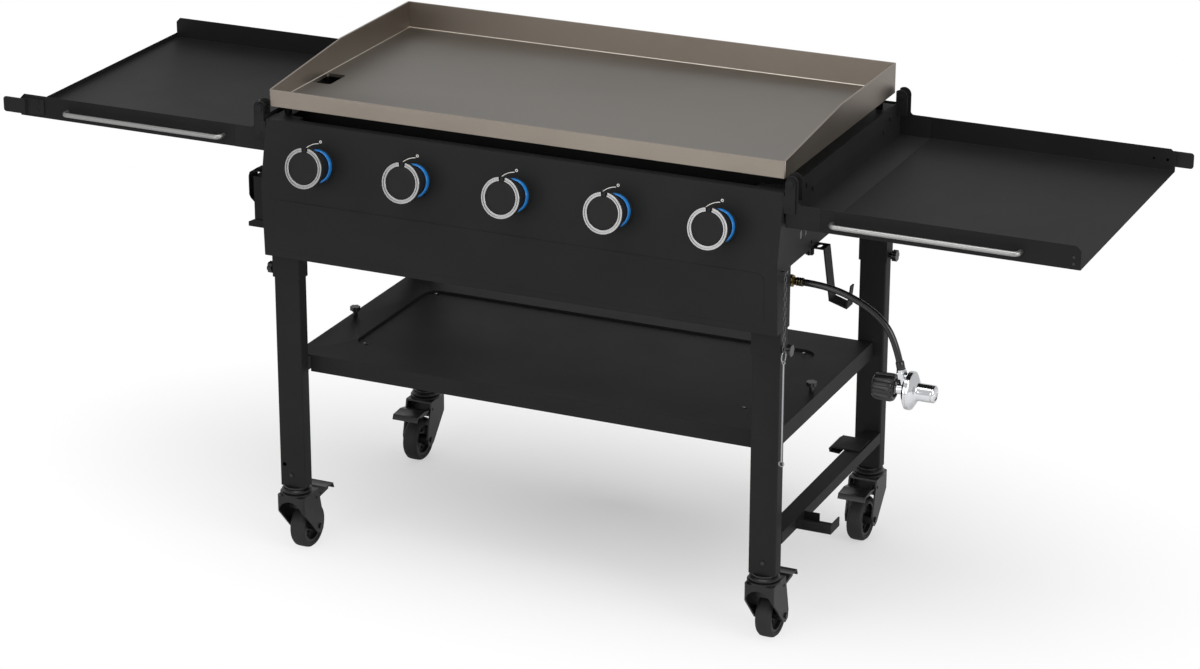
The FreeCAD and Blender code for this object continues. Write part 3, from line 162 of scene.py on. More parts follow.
class StationSizes(bpy.types.PropertyGroup):
    """Sizes of the station's small pieces and edges."""

    sheet_edge: length_property("Sheet edge", "Round on pressed sheet edges", 0.0006)
    plate_edge: length_property("Griddle edge", "Round on the griddle's edges", 0.0012)
    cove: length_property("Griddle cove", "Weld radius inside the griddle", 0.0013)
    ring_groove: length_property("Ring groove", "Depth of the groove in a knob's ring", 0.0014)
    mark_width: length_property("Mark width", "Width of the printed arcs", 0.0013)
    mark_height: length_property("Mark height", "Thickness of the print", 0.00015)
    link_wire: length_property("Link wire", "Radius of the chain's wire", 0.0008)
    ring_wire: length_property("Ring wire", "Radius of the rod's ring wire", 0.0009)


def colours():
    return bpy.context.scene.station_colours


def sizes():
    return bpy.context.scene.station_sizes


# Meshes from grids of points
def skin(points, close_u=False, close_v=False):
    """Four-sided faces between neighbours of a grid of points, wrapped round where asked."""
    rows, columns = points.shape[:2]
    u = np.arange(rows if close_u else rows - 1)
    v = np.arange(columns if close_v else columns - 1)
    a, b = np.meshgrid(u, v, indexing="ij")
    a1 = (a + 1) % rows
    b1 = (b + 1) % columns
    corners = [a * columns + b, a1 * columns + b, a1 * columns + b1, a * columns + b1]
    return points.reshape(-1, 3), np.stack(corners, -1).reshape(-1, 4)


def with_poles(points):
    """The grid with its first and last rows drawn together to their own centres."""
    first = np.broadcast_to(points[0].mean(0), points[0].shape)
    last = np.broadcast_to(points[-1].mean(0), points[-1].shape)
    return np.concatenate([first[None], points, last[None]])


def wound(profile, base, axis, steps, ripple=None):
    """Each (radius, height) pair carried round the axis in equal steps.

    A ripple, given by the angle, adds to the radius; the pair's third number is its share.
    """
    axis = np.array(axis, float)
    axis /= np.linalg.norm(axis)
    side = np.cross(axis, X_AXIS if abs(axis[0]) < 0.9 else Z_AXIS)
    side /= np.linalg.norm(side)
    across = np.cross(axis, side)
    angle = np.linspace(0, 2 * np.pi, steps, endpoint=False)
    profile = np.array(profile, float)
    radius = np.repeat(profile[:, :1], steps, 1)
    if ripple is not None:
        radius = radius + ripple(angle)[None, :] * profile[:, 2:3]
    spoke = np.cos(angle)[:, None] * side + np.sin(angle)[:, None] * across
    points = radius[..., None] * spoke[None] + profile[:, 1][:, None, None] * axis
    return points + np.array(base)


def turned(profile, base, axis, steps, ripple=None):
    """A profile carried round an axis, with both ends closed by discs."""
    return skin(with_poles(wound(profile, base, axis, steps, ripple)), close_v=True)


def ringed(profile, base, axis, steps, ripple=None):
    """A closed profile carried round an axis, as for a ring with a hole."""
    return skin(wound(profile, base, axis, steps, ripple), close_u=True, close_v=True)


def round_section(radius, steps):
    """A circle's points as (sideways, upwards) pairs."""
    angle = np.linspace(0, 2 * np.pi, steps, endpoint=False)
    return np.stack([np.cos(angle), np.sin(angle)], -1) * radius


def carried(path, section, normal, closed=False):
    """The section carried along a flat path, square to it; normal is square to the path's plane."""
    path = np.array(path, float)
    normal = np.array(normal, float)
    if closed:
        tangent = np.roll(path, -1, 0) - np.roll(path, 1, 0)
    else:
        tangent = np.gradient(path, axis=0)
    tangent /= np.linalg.norm(tangent, axis=1)[:, None]
    side = np.cross(tangent, normal)
    section = np.array(section, float)
    points = (
        path[:, None]
        + section[None, :, :1] * side[:, None]
        + section[None, :, 1:] * normal
    )
    if closed:
        return skin(points, close_u=True, close_v=True)
    return skin(with_poles(points), close_v=True)


def arc(centre, start, end, from_angle, to_angle, steps):
    """Points round a centre: start's vector at angle 0, end's at a quarter turn."""
    angle = np.linspace(from_angle, to_angle, steps)[:, None]
    return np.array(centre) + np.cos(angle) * start + np.sin(angle) * end


SAME_SPOT = 1e-7


def mesh_of(name, skins, smooth_angle=35.0):
    """One closed mesh from several skins, smooth except where it folds by more than an angle."""
    points, faces, start = [], [], 0
    for grid, quads in skins:
        points.append(grid)
        faces.append(quads + start)
        start += len(grid)
    mesh = bpy.data.meshes.new(name)
    mesh.from_pydata(np.concatenate(points).tolist(), [], np.concatenate(faces).tolist())
    close_mesh(mesh)
    mesh.shade_smooth()
    mesh.set_sharp_from_angle(angle=math.radians(smooth_angle))
    return mesh


def close_mesh(mesh):
    """Points on the same spot become one, and every face turns outwards."""
    made = bmesh.new()
    made.from_mesh(mesh)
    bmesh.ops.remove_doubles(made, verts=made.verts, dist=SAME_SPOT)
    bmesh.ops.recalc_face_normals(made, faces=made.faces)
    made.to_mesh(mesh)
    made.free()


def placed(mesh, body, material, nodes=()):
    """A piece that rides on a body and stands for CAD nodes."""
    piece = bpy.data.objects.new(mesh.name, mesh)
    bpy.context.scene.collection.objects.link(piece)
    if not mesh.materials:
        mesh.materials.append(material)
    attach(piece, body)
    if nodes:
        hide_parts(*nodes)
    return piece


# Node helpers
def node(tree, kind, inputs=None, **settings):
    """A new node; each named or numbered socket is linked where its value is a socket, or set."""
    made = tree.nodes.new(kind)
    for name, value in settings.items():
        setattr(made, name, value)
    for name, value in (inputs or {}).items():
        socket = made.inputs[name]
        if isinstance(value, bpy.types.NodeSocket):
            tree.links.new(value, socket)
        else:
            socket.default_value = value
    return made


def maths(tree, operation, a, b=0.0):
    made = node(tree, "ShaderNodeMath", {0: a, 1: b}, operation=operation)
    return made.outputs[0]


def vector_maths(tree, operation, a, b=(0.0, 0.0, 0.0)):
    return node(tree, "ShaderNodeVectorMath", {0: a, 1: b}, operation=operation)


def spread(tree, value, low, high, from_low=0.0, from_high=1.0):
    """The value moved from one range to another, and held inside it."""
    made = node(
        tree,
        "ShaderNodeMapRange",
        {"Value": value, "From Min": from_low, "From Max": from_high, "To Min": low, "To Max": high},
    )
    return made.outputs["Result"]


def blend_colour(tree, factor, a, b):
    """The first colour at factor 0 and the second at 1."""
    made = node(tree, "ShaderNodeMix", data_type="RGBA")
    inputs = [s for s in made.inputs if s.enabled]
    for socket, value in zip(inputs, (factor, a, b)):
        if isinstance(value, bpy.types.NodeSocket):
            tree.links.new(value, socket)
        elif socket.type == "RGBA":
            socket.default_value = (*value, 1.0)
        else:
            socket.default_value = value
    return [s for s in made.outputs if s.enabled][0]


def new_group(name, inputs, outputs):
    """A shader node group with named number inputs and outputs."""
    group = bpy.data.node_groups.new(name, "ShaderNodeTree")
    for label, value in inputs.items():
        socket = group.interface.new_socket(label, in_out="INPUT", socket_type="NodeSocketFloat")
        socket.default_value = value
    for label in outputs:
        group.interface.new_socket(label, in_out="OUTPUT", socket_type="NodeSocketFloat")
    return group, group.nodes.new("NodeGroupInput"), group.nodes.new("NodeGroupOutput")


def grain_group():
    """Fine coat grain: a small noise for height and a broad one for mottling."""
    if "Coat Grain" in bpy.data.node_groups:
        return bpy.data.node_groups["Coat Grain"]
    group, given, result = new_group(
        "Coat Grain", {"Grain Scale": 900.0, "Mottle Scale": 7.0}, ["Height", "Mottle"]
    )
    place = node(group, "ShaderNodeTexCoord").outputs["Object"]
    fine = node(
        group,
        "ShaderNodeTexNoise",
        {"Vector": place, "Scale": given.outputs["Grain Scale"], "Detail": 2.0, "Roughness": 0.5},
    )
    broad = node(
        group,
        "ShaderNodeTexNoise",
        {"Vector": place, "Scale": given.outputs["Mottle Scale"], "Detail": 4.0, "Roughness": 0.55},
    )
    group.links.new(fine.outputs[0], result.inputs["Height"])
    group.links.new(spread(group, broad.outputs[0], 0.0, 1.0, 0.3, 0.7), result.inputs["Mottle"])
    return group


def brushed_group():
    """Fine streaks along one axis: a noise squeezed across the brushing direction."""
    if "Brushed Grain" in bpy.data.node_groups:
        return bpy.data.node_groups["Brushed Grain"]
    group, given, result = new_group(
        "Brushed Grain",
        {"Along X": 6.0, "Along Y": 900.0, "Along Z": 900.0, "Blotch Scale": 5.0},
        ["Streak", "Blotch"],
    )
    place = node(group, "ShaderNodeTexCoord").outputs["Object"]
    factors = node(
        group,
        "ShaderNodeCombineXYZ",
        {0: given.outputs["Along X"], 1: given.outputs["Along Y"], 2: given.outputs["Along Z"]},
    )
    squeezed = vector_maths(group, "MULTIPLY", place, factors.outputs[0])
    streak = node(
        group,
        "ShaderNodeTexNoise",
        {"Vector": squeezed.outputs[0], "Scale": 1.0, "Detail": 3.0, "Roughness": 0.6},
    )
    blotch = node(
        group,
        "ShaderNodeTexNoise",
        {"Vector": place, "Scale": given.outputs["Blotch Scale"], "Detail": 5.0, "Roughness": 0.6},
    )
    group.links.new(spread(group, streak.outputs[0], 0.0, 1.0, 0.25, 0.75), result.inputs["Streak"])
    group.links.new(spread(group, blotch.outputs[0], 0.0, 1.0, 0.3, 0.7), result.inputs["Blotch"])
    return group


def placed_group(tree, group, values):
    """The shared group, placed in a material with the material's own values."""
    made = node(tree, "ShaderNodeGroup", node_tree=group)
    for label, value in values.items():
        made.inputs[label].default_value = value
    return made


def new_finish(name, metallic=0.0, specular=0.5):
    material = bpy.data.materials.new(name)
    material.use_nodes = True
    tree = material.node_tree
    shader = tree.nodes["Principled BSDF"]
    shader.inputs["Metallic"].default_value = metallic
    shader.inputs["Specular IOR Level"].default_value = specular
    return material, tree, shader


def deeper(colour, share):
    """The colour with each channel multiplied by a share."""
    return tuple(channel * share for channel in colour)


def roughen(tree, shader, height, strength, distance):
    """Fine relief: the height bends the surface's normal."""
    bump = node(tree, "ShaderNodeBump", {"Height": height, "Strength": strength, "Distance": distance})
    tree.links.new(bump.outputs[0], shader.inputs["Normal"])


def coated(name, colour, roughness, specular=0.3, grain=900.0, depth=0.00008):
    """A coat or moulded finish: mottled colour and gloss over fine grain."""
    material, tree, shader = new_finish(name, specular=specular)
    texture = placed_group(tree, grain_group(), {"Grain Scale": grain, "Mottle Scale": 9.0})
    mottle = texture.outputs["Mottle"]
    tree.links.new(
        blend_colour(tree, mottle, deeper(colour, 0.9), deeper(colour, 1.1)),
        shader.inputs["Base Color"],
    )
    tree.links.new(
        spread(tree, mottle, roughness - 0.03, roughness + 0.03), shader.inputs["Roughness"]
    )
    roughen(tree, shader, texture.outputs["Height"], 0.35, depth)
    return material


def brushed(name, colour, roughness, along=(6.0, 900.0, 900.0), change=0.12, depth=0.00003):
    """Bare metal with fine streaks and broad, faint tints."""
    material, tree, shader = new_finish(name, metallic=1.0)
    texture = placed_group(
        tree,
        brushed_group(),
        {"Along X": along[0], "Along Y": along[1], "Along Z": along[2], "Blotch Scale": 4.0},
    )
    streaked = blend_colour(
        tree, texture.outputs["Streak"], deeper(colour, 1 - change / 2), deeper(colour, 1 + change / 2)
    )
    blotched = blend_colour(
        tree, texture.outputs["Blotch"], deeper(colour, 1 - change), deeper(colour, 1 + change / 2)
    )
    tree.links.new(blend_colour(tree, 0.5, streaked, blotched), shader.inputs["Base Color"])
    rough = maths(tree, "ADD", texture.outputs["Streak"], texture.outputs["Blotch"])
    tree.links.new(
        spread(tree, rough, roughness - 0.05, roughness + 0.05, 0.0, 2.0), shader.inputs["Roughness"]
    )
    roughen(tree, shader, texture.outputs["Streak"], 0.3, depth)
    return material


# Heights where the griddle's painted shade changes, on its floor and below its plate, as the start and end
# of each blend
FLOOR_SHADE_BLEND = (0.0004, 0.0016)
UNDERSIDE_SHADE_BLEND = (-0.0012, 0.0002)


def griddle_finish():
    """Bare rolled steel with lighter walls and a darker floor, lit and shaded copies of one steel as
    painted light and shade, and black powder colour below the plate as painted shade under it.
    """
    c = colours()
    material, tree, shader = new_finish("GriddleSteel", metallic=1.0)
    texture = placed_group(
        tree,
        brushed_group(),
        {"Along X": 5.0, "Along Y": 700.0, "Along Z": 700.0, "Blotch Scale": 3.2},
    )
    coordinates = node(tree, "ShaderNodeTexCoord")
    height = node(tree, "ShaderNodeSeparateXYZ", {0: coordinates.outputs["Object"]}).outputs["Z"]
    facing = node(tree, "ShaderNodeSeparateXYZ", {0: coordinates.outputs["Normal"]}).outputs["Z"]
    floor_top = TRAY_BOTTOM + TRAY_FLOOR
    # Painted shade: the upward floor takes the darker of the two colours
    low = spread(tree, height, 1.0, 0.0, floor_top + FLOOR_SHADE_BLEND[0], floor_top + FLOOR_SHADE_BLEND[1])
    floor_shade_mask = maths(tree, "MULTIPLY", low, spread(tree, facing, 0.0, 1.0, 0.4, 0.6))
    # Painted shade: below the plate's bottom the steel turns to the black powder colour, for the shade
    # under the griddle
    above = spread(tree, height, 0.0, 1.0, TRAY_BOTTOM + UNDERSIDE_SHADE_BLEND[0], TRAY_BOTTOM + UNDERSIDE_SHADE_BLEND[1])
    blotch = texture.outputs["Blotch"]
    walls = blend_colour(tree, blotch, deeper(c.griddle, 0.94), deeper(c.griddle, 1.04))
    plate = blend_colour(tree, blotch, deeper(c.griddle_floor, 0.93), deeper(c.griddle_floor, 1.05))
    bare = blend_colour(tree, floor_shade_mask, walls, plate)
    tree.links.new(blend_colour(tree, above, c.powder, bare), shader.inputs["Base Color"])
    tree.links.new(spread(tree, blotch, 0.36, 0.44), shader.inputs["Roughness"])
    roughen(tree, shader, texture.outputs["Streak"], 0.2, 0.00002)
    return material


# Streak scales of the metals along x, y and z; the brushing runs along the lowest
EVEN_STREAKS = (300.0, 300.0, 300.0)
FINE_STREAKS = (500.0, 500.0, 500.0)
BURNER_STREAKS = (900.0, 6.0, 900.0)
HANDLE_STREAKS = (6.0, 300.0, 300.0)
BRASS_STREAKS = (20.0, 500.0, 500.0)
PLATING_STREAKS = (40.0, 500.0, 500.0)
FINISHES = {}


def make_finishes():
    """Every finish by its name: a coat has roughness and specular level, a metal roughness alone."""
    c = colours()
    made = {
        "black_powder_coat": coated("PowderCoat", c.powder, 0.52, 0.1),
        "shelf_powder_coat": coated("ShelfPowderCoat", c.shelf, 0.5, 0.1),
        "caster_steel": coated("CasterSteel", c.caster, 0.34, 0.4, grain=500.0, depth=0.00004),
        "griddle_steel": griddle_finish(),
        "weld_seam": brushed("WeldSeam", c.seam, 0.3, change=0.1),
        "dark_steel": brushed("DarkSteel", c.dark_steel, 0.28, EVEN_STREAKS, 0.1),
        "stainless_steel": brushed("StainlessSteel", c.stainless, 0.3, BURNER_STREAKS),
        "dark_hole": coated("DarkHole", c.hole, 0.9, 0.0),
        "handle_steel": brushed("HandleSteel", c.stainless, 0.42, HANDLE_STREAKS, 0.05, 0.00001),
        "dark_brass": brushed("DarkBrass", c.dark_brass, 0.26, BRASS_STREAKS, 0.15),
        "zinc_steel": brushed("ZincSteel", c.zinc, 0.28, EVEN_STREAKS, 0.1),
        "chrome": brushed("BrightPlating", c.chrome, 0.14, PLATING_STREAKS, 0.04, 0.00001),
        "brass": brushed("Brass", c.brass, 0.3, BRASS_STREAKS, 0.15),
        "knob_plastic": coated("KnobPlastic", c.knob, 0.5, 0.12, grain=1400.0, depth=0.00003),
        "black_plastic": coated("BlackPlastic", c.plastic, 0.3, 0.5, grain=700.0, depth=0.00003),
        "blue_plastic": coated("BluePlastic", c.blue, 0.3, 0.5, grain=700.0, depth=0.00002),
        "wheel_rubber": coated("WheelRubber", c.rubber, 0.62, 0.3, grain=600.0, depth=0.0001),
        "hose_rubber": coated("HoseRubber", c.hose, 0.22, 0.5, grain=300.0, depth=0.00006),
        "silver_ring": brushed("SilverRing", c.silver, 0.34, FINE_STREAKS, 0.08),
        "panel_print": coated("PanelPrint", c.print_white, 0.5, 0.4),
        "black_zinc": coated("BlackZinc", c.caster, 0.25, 0.5, grain=500.0),
        "wheel_hub": coated("WheelHub", c.plastic, 0.4, 0.45, grain=500.0),
    }
    FINISHES.update(made)


def dress(name, material):
    """Gives a CAD node a finish and leaves its mesh as it is."""
    holder = NODES[name]
    if not holder.material_slots:
        holder.data.materials.append(material)
    for slot in holder.material_slots:
        slot.material = material


class STATION_OT_finishes(bpy.types.Operator):
    """Make every finish and give each CAD node the one that its record names"""

    bl_idname = "station.finishes"
    bl_label = "Finishes"

    def execute(self, context):
        make_finishes()
        for name in NODES:
            dress(name, FINISHES[NODE_SLOTS[name]])
        dress("caster_stems", FINISHES["black_zinc"])
        dress("frame_screws", FINISHES["black_zinc"])
        return {"FINISHED"}


# Copies of CAD nodes with rounded edges
EDGED_SHEETS = [
    "control_panel",
    *(side + "_side_panel" for side in SIDES),
    "rear_panel",
    *(side + "_hinge_channel" for side in SIDES),
    *(side + "_shelf_tray" for side in SIDES),
    "lower_shelf",
    "lower_rails",
    *(side + "_latch" for side in SIDES),
    "hinge_brackets",
    "grease_cup",
    "cup_cradle",
    "tank_hook",
    *("leg_" + corner for corner in CORNERS),
    *("brake_pedal_" + corner for corner in CORNERS),
]
CAD_SAME_SPOT = 2e-6
FLAT_ANGLE = math.radians(0.6)
EDGE_ANGLE = math.radians(40)
EDGE_SEGMENTS = 2


def merged_copy(name):
    """A CAD node's mesh with its triangles joined and its flat faces made whole."""
    mesh = NODES[name].data.copy()
    mesh.name = name + "_edged"
    mesh.materials.clear()
    made = bmesh.new()
    made.from_mesh(mesh)
    bmesh.ops.remove_doubles(made, verts=made.verts, dist=CAD_SAME_SPOT)
    bmesh.ops.dissolve_limit(made, angle_limit=FLAT_ANGLE, verts=made.verts, edges=made.edges)
    made.to_mesh(mesh)
    made.free()
    mesh.shade_smooth()
    mesh.set_sharp_from_angle(angle=EDGE_ANGLE)
    return mesh


def round_edges(piece, width):
    """Rounds every edge that folds by more than the edge angle."""
    bevel = piece.modifiers.new("EdgeRound", "BEVEL")
    bevel.width = width
    bevel.segments = EDGE_SEGMENTS
    bevel.limit_method = "ANGLE"
    bevel.angle_limit = EDGE_ANGLE
    bevel.harden_normals = True
    bevel.use_clamp_overlap = True


def edged_copy(name, width):
    """A merged copy that stands for its CAD node, in the same finish, with rounded edges."""
    slot = NODE_SLOTS[name]
    piece = placed(merged_copy(name), NODES[name]["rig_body"], FINISHES[slot], [name])
    round_edges(piece, width)
    return piece


# Slots of each side panel as (back, height, width, length), and the dark plates set in them as painted
# shade
SHADED_SLOTS = ((78.0, -117.0, 9.0, 14.4), (100.0, -121.0, 6.0, 9.0))
SLOT_SHADE_FACE = 0.45595
SLOT_SHADE_THICK = 0.0012


def bracket_tab(side, slot):
    """A dark plate that fills a slot as painted shade: a rectangle behind the panel's outer face, joined
    to one further in.
    """
    back, height, width, length = slot
    centre = tray_point(0, back, height)
    points = np.array([(0, -1, -1), (0, 1, -1), (0, 1, 1), (0, -1, 1)], float)
    points *= (0, width / 2000, length / 2000)
    outer = points + centre + X_AXIS * side * SLOT_SHADE_FACE
    inner = outer - X_AXIS * side * SLOT_SHADE_THICK
    return skin(with_poles(np.stack([outer, inner])), close_v=True)


class STATION_OT_sheets(bpy.types.Operator):
    """Round the edges of the folded sheets, legs and brackets, and fill the panels' slots with dark plates
    as painted shade
    """

    bl_idname = "station.sheets"
    bl_label = "Sheet edges"

    def execute(self, context):
        for name in EDGED_SHEETS:
            edged_copy(name, sizes().sheet_edge)
        # Painted shade: dark plates in the side panels' slots
        shade_plates = mesh_of("bracket_tabs", [bracket_tab(side, slot) for side in (-1, 1) for slot in SHADED_SLOTS])
        placed(shade_plates, "stand", FINISHES["black_zinc"])
        return {"FINISHED"}


# The griddle: its edged plate and the weld seams inside it, lighter than the steel as a painted highlight
SEAM_SUNK = -0.0003


def inner_seam(radius):
    """A hollow quarter round of the given radius, run along the four walls' feet.

    Its section goes from (radius, 0) to (0, radius) as (inwards, upwards) and back
    through a point just inside the corner; each section point becomes a rectangle
    that far inside the walls, so the corners are mitred.
    """
    turn = np.linspace(0, math.pi / 2, 7)
    inwards = np.append(radius * (1 - np.sin(turn)), SEAM_SUNK)
    upwards = np.append(radius * (1 - np.cos(turn)), SEAM_SUNK)
    half = TRAY_WIDTH / 2 - TRAY_WALL - inwards
    low = FRONT_Y + TRAY_WALL + inwards
    high = FRONT_Y + TRAY_DEPTH - TRAY_WALL - inwards
    z = TRAY_BOTTOM + TRAY_FLOOR + upwards
    corners = [(half, low), (half, high), (-half, high), (-half, low)]
    points = np.stack([np.stack([x, y, z], -1) for x, y in corners], 1)
    return skin(points, close_u=True, close_v=True)


class STATION_OT_griddle(bpy.types.Operator):
    """Make the griddle's plate with rounded edges and its inner weld seams, lighter as a painted highlight
    """

    bl_idname = "station.griddle"
    bl_label = "Griddle"

    def execute(self, context):
        edged_copy("griddle_plate", sizes().plate_edge)
        seam = mesh_of("griddle_seam", [inner_seam(sizes().cove)])
        placed(seam, "griddle", FINISHES["weld_seam"])
        return {"FINISHED"}


# Burner knobs, the rings behind them and the printed marks
KNOB_RADIUS = 0.0336
KNOB_RING_WIDTH = 0.0066
KNOB_REACH = 0.0508
KNOB_RING_THICK = 0.0034
KNOB_RING_SOFT = 0.0003
KNOB_RING_GAP = 0.0106
GROOVE_TOP_HALF = 0.0007
GROOVE_FOOT_HALF = 0.0005
POINTER_FROM = 0.0266
POINTER_TO = 0.0326
MARK_DOT_HEIGHT = 0.040
MARK_DOT_RADIUS = 0.0018
MARK_ARC_RADIUS = 0.0368
MARK_ARC_FROM = math.radians(5)
MARK_ARC_TO = math.radians(165)
MARK_SUNK = 0.0001
# Profiles are (radius, height) pairs in millimetres
STEM_PROFILE = ((4.0, -44.0), (4.0, 9.0))
CAP_PROFILE = (
    (22.6, 7.6),
    (23.6, 7.7),
    (24.1, 8.2),
    (24.3, 9.0),
    (24.4, 22.0),
    (24.9, 27.0),
    (25.7, 30.5),
    (27.0, 34.0),
    (29.0, 36.8),
    (31.4, 38.9),
    (32.7, 40.2),
    (33.4, 41.4),
    (33.6, 43.0),
    (33.6, 50.2),
    (33.4, 50.6),
    (33.0, 50.8),
    (27.1, 50.8),
    (26.9, 51.0),
    (26.7, 53.3),
    (26.4, 53.8),
    (25.8, 54.0),
    (18.0, 53.8),
    (8.0, 53.5),
    (0.4, 53.4),
)
BEZEL_PROFILE = (
    (25.2, 5.8),
    (27.8, 5.8),
    (28.0, 6.2),
    (28.0, 10.0),
    (27.7, 11.6),
    (27.2, 12.7),
    (26.6, 13.3),
    (26.0, 13.5),
    (25.5, 13.3),
    (25.2, 12.8),
)
BEZEL_BASE = (
    (22.5, 0.0),
    (29.0, 0.0),
    (29.0, 5.0),
    (28.6, 5.7),
    (25.2, 5.7),
    (25.2, 2.0),
    (22.5, 2.0),
)


def metres(profile):
    """A profile's (radius, height) pairs turned from millimetres."""
    return [(radius / 1000, height / 1000) for radius, height in profile]


def knob_frame(number):
    """Base point, outward axis and upward direction of a burner knob, from its joint."""
    joint = JOINTS["knob_" + str(number) + "_turn"]
    axis = np.array(joint["axis"], float)
    axis /= np.linalg.norm(axis)
    up = np.cross(axis, X_AXIS)
    return np.array(joint["pos_m"], float), axis, up / np.linalg.norm(up)


def knob_ring(base, axis, up):
    """A flat section with a fine groove, carried round an arc that leaves a gap at the top."""
    middle = KNOB_RADIUS - KNOB_RING_WIDTH / 2
    gap = math.asin(KNOB_RING_GAP / 2 / middle)
    centre = base + axis * KNOB_REACH
    path = arc(centre, up * middle, -X_AXIS * middle, gap, 2 * math.pi - gap, 129)
    half = KNOB_RING_WIDTH / 2
    top = KNOB_RING_THICK
    soft = KNOB_RING_SOFT
    foot = top - sizes().ring_groove
    section = [
        (-half, 0),
        (-half, top - soft),
        (-half + soft, top),
        (-GROOVE_TOP_HALF, top),
        (-GROOVE_FOOT_HALF, foot),
        (GROOVE_FOOT_HALF, foot),
        (GROOVE_TOP_HALF, top),
        (half - soft, top),
        (half, top - soft),
        (half, 0),
    ]
    return carried(path, section, axis)


def knob_pointer(base, axis, up):
    """A bar with chamfered shoulders, carried straight outwards through the ring's gap."""
    start = base + axis * KNOB_REACH
    path = start + np.linspace(POINTER_FROM, POINTER_TO, 4)[:, None] * up
    section = [
        (-0.0026, 0.001),
        (-0.0026, 0.0036),
        (-0.0021, 0.0042),
        (0.0021, 0.0042),
        (0.0026, 0.0036),
        (0.0026, 0.001),
    ]
    return carried(path, section, axis)


def printed_marks(number):
    """A small ring above the knob, and a thin arc from it round the knob's left side."""
    base, axis, up = knob_frame(number)
    height = sizes().mark_height
    half = sizes().mark_width / 2
    flat = [(-half, -MARK_SUNK), (-half, height), (half, height), (half, -MARK_SUNK)]
    radius = MARK_ARC_RADIUS
    line = arc(base, up * radius, -X_AXIS * radius, MARK_ARC_FROM, MARK_ARC_TO, 65)
    centre = base + up * MARK_DOT_HEIGHT
    radius = MARK_DOT_RADIUS
    dot = arc(centre, up * radius, -X_AXIS * radius, 0, 2 * math.pi, 33)[:-1]
    return [carried(line, flat, axis), carried(dot, flat, axis, closed=True)]


class STATION_OT_knobs(bpy.types.Operator):
    """Make the burner knobs with their silver rings, the blue rings and the printed marks"""

    bl_idname = "station.knobs"
    bl_label = "Burner knobs"

    def execute(self, context):
        marks, bezels, bases = [], [], []
        for number in KNOB_NUMBERS:
            base, axis, up = knob_frame(number)
            label = "knob_" + str(number)
            body = "burner_" + label
            cap = turned(metres(CAP_PROFILE), base, axis, 96)
            stem = turned(metres(STEM_PROFILE), base, axis, 32)
            mesh = mesh_of(label + "_cap", [cap, stem, knob_pointer(base, axis, up)])
            placed(mesh, body, FINISHES["knob_plastic"], [label])
            ring = mesh_of(label + "_ring", [knob_ring(base, axis, up)])
            placed(ring, body, FINISHES["silver_ring"], [label])
            bezels.append(ringed(metres(BEZEL_PROFILE), base, axis, 96))
            bases.append(ringed(metres(BEZEL_BASE), base, axis, 96))
            marks += printed_marks(number)
        rings = mesh_of("blue_rings", bezels)
        placed(rings, "stand", FINISHES["blue_plastic"], ["knob_bezels"])
        seats = mesh_of("blue_ring_seats", bases)
        placed(seats, "stand", FINISHES["knob_plastic"], ["knob_bezels"])
        placed(mesh_of("burner_marks", marks), "stand", FINISHES["panel_print"])
        return {"FINISHED"}


# Hose, its fitting, the regulator and the hand wheel
INLET_START = (446.0, 45.0, -183.0)
INLET_NUT_ACROSS = 0.0182
COLLAR_NUT_ACROSS = 0.0158
COLLAR_NUT_FROM = 0.003
NUT_LENGTH = 0.012
NUT_CHAMFER = 0.0008
HAND_WHEEL_BEHIND = 0.0626
HOSE_POINTS = (
    (475.0, 45.0, -183.0),
    (514.0, 45.0, -183.0),
    (570.0, 45.0, -200.0),
    (615.0, 45.0, -230.0),
    (635.0, 45.0, -272.0),
    (642.0, 45.0, -303.0),
)
HOSE_RADIUS = 0.0055
INLET_SLEEVE_PROFILE = ((6.2, 11.5), (6.2, 17.5))
FERRULE_PROFILE = (
    (5.6, 16.6),
    (6.6, 16.8),
    (7.0, 17.4),
    (7.0, 19.0),
    (6.4, 19.8),
    (6.4, 20.6),
    (7.0, 21.4),
    (7.0, 23.0),
    (6.4, 23.8),
    (6.4, 24.6),
    (7.0, 25.4),
    (7.0, 27.8),
    (6.6, 28.6),
    (5.6, 29.0),
)
HOSE_SLEEVE_PROFILE = (
    (5.6, -13.0),
    (6.6, -12.6),
    (6.9, -12.0),
    (6.9, -1.2),
    (6.6, -0.4),
    (5.6, 0.0),
)
SPIGOT_PROFILE = ((5.0, -60.0), (5.0, -16.0))
COLLAR_PROFILE = ((7.5, 0.0), (7.5, 24.0))
REGULATOR_CENTRE = (659.286, 45.0, -336.411)
REGULATOR_PROFILE = (
    (8.5, -22.0),
    (8.7, -12.4),
    (9.4, -11.6),
    (16.0, -10.6),
    (22.0, -9.0),
    (26.0, -7.0),
    (28.6, -4.9),
    (29.6, -4.2),
    (30.6, -4.0),
    (31.0, -3.5),
    (31.0, -0.8),
    (30.5, -0.5),
    (30.3, 0.0),
    (30.5, 0.5),
    (31.0, 0.8),
    (31.0, 3.4),
    (30.5, 4.0),
    (29.4, 4.2),
    (28.2, 5.0),
    (25.6, 7.0),
    (21.8, 9.2),
    (18.0, 11.0),
    (15.6, 12.4),
    (14.6, 13.6),
    (14.3, 15.2),
    (14.3, 35.6),
    (14.1, 36.0),
    (13.6, 36.2),
    (13.6, 37.0),
    (14.1, 37.2),
    (14.3, 37.6),
    (14.2, 39.2),
    (13.5, 40.6),
    (12.0, 41.6),
    (10.4, 42.0),
    (9.8, 41.8),
    (9.2, 40.4),
    (8.8, 40.2),
    (0.4, 40.2),
)
LOBE_COUNT = 12
LOBE_STEEPNESS = 2.2
LOBE_CUT = 0.7
LOBE_HEIGHT = 0.0011
LOBE_INSET = 0.0008
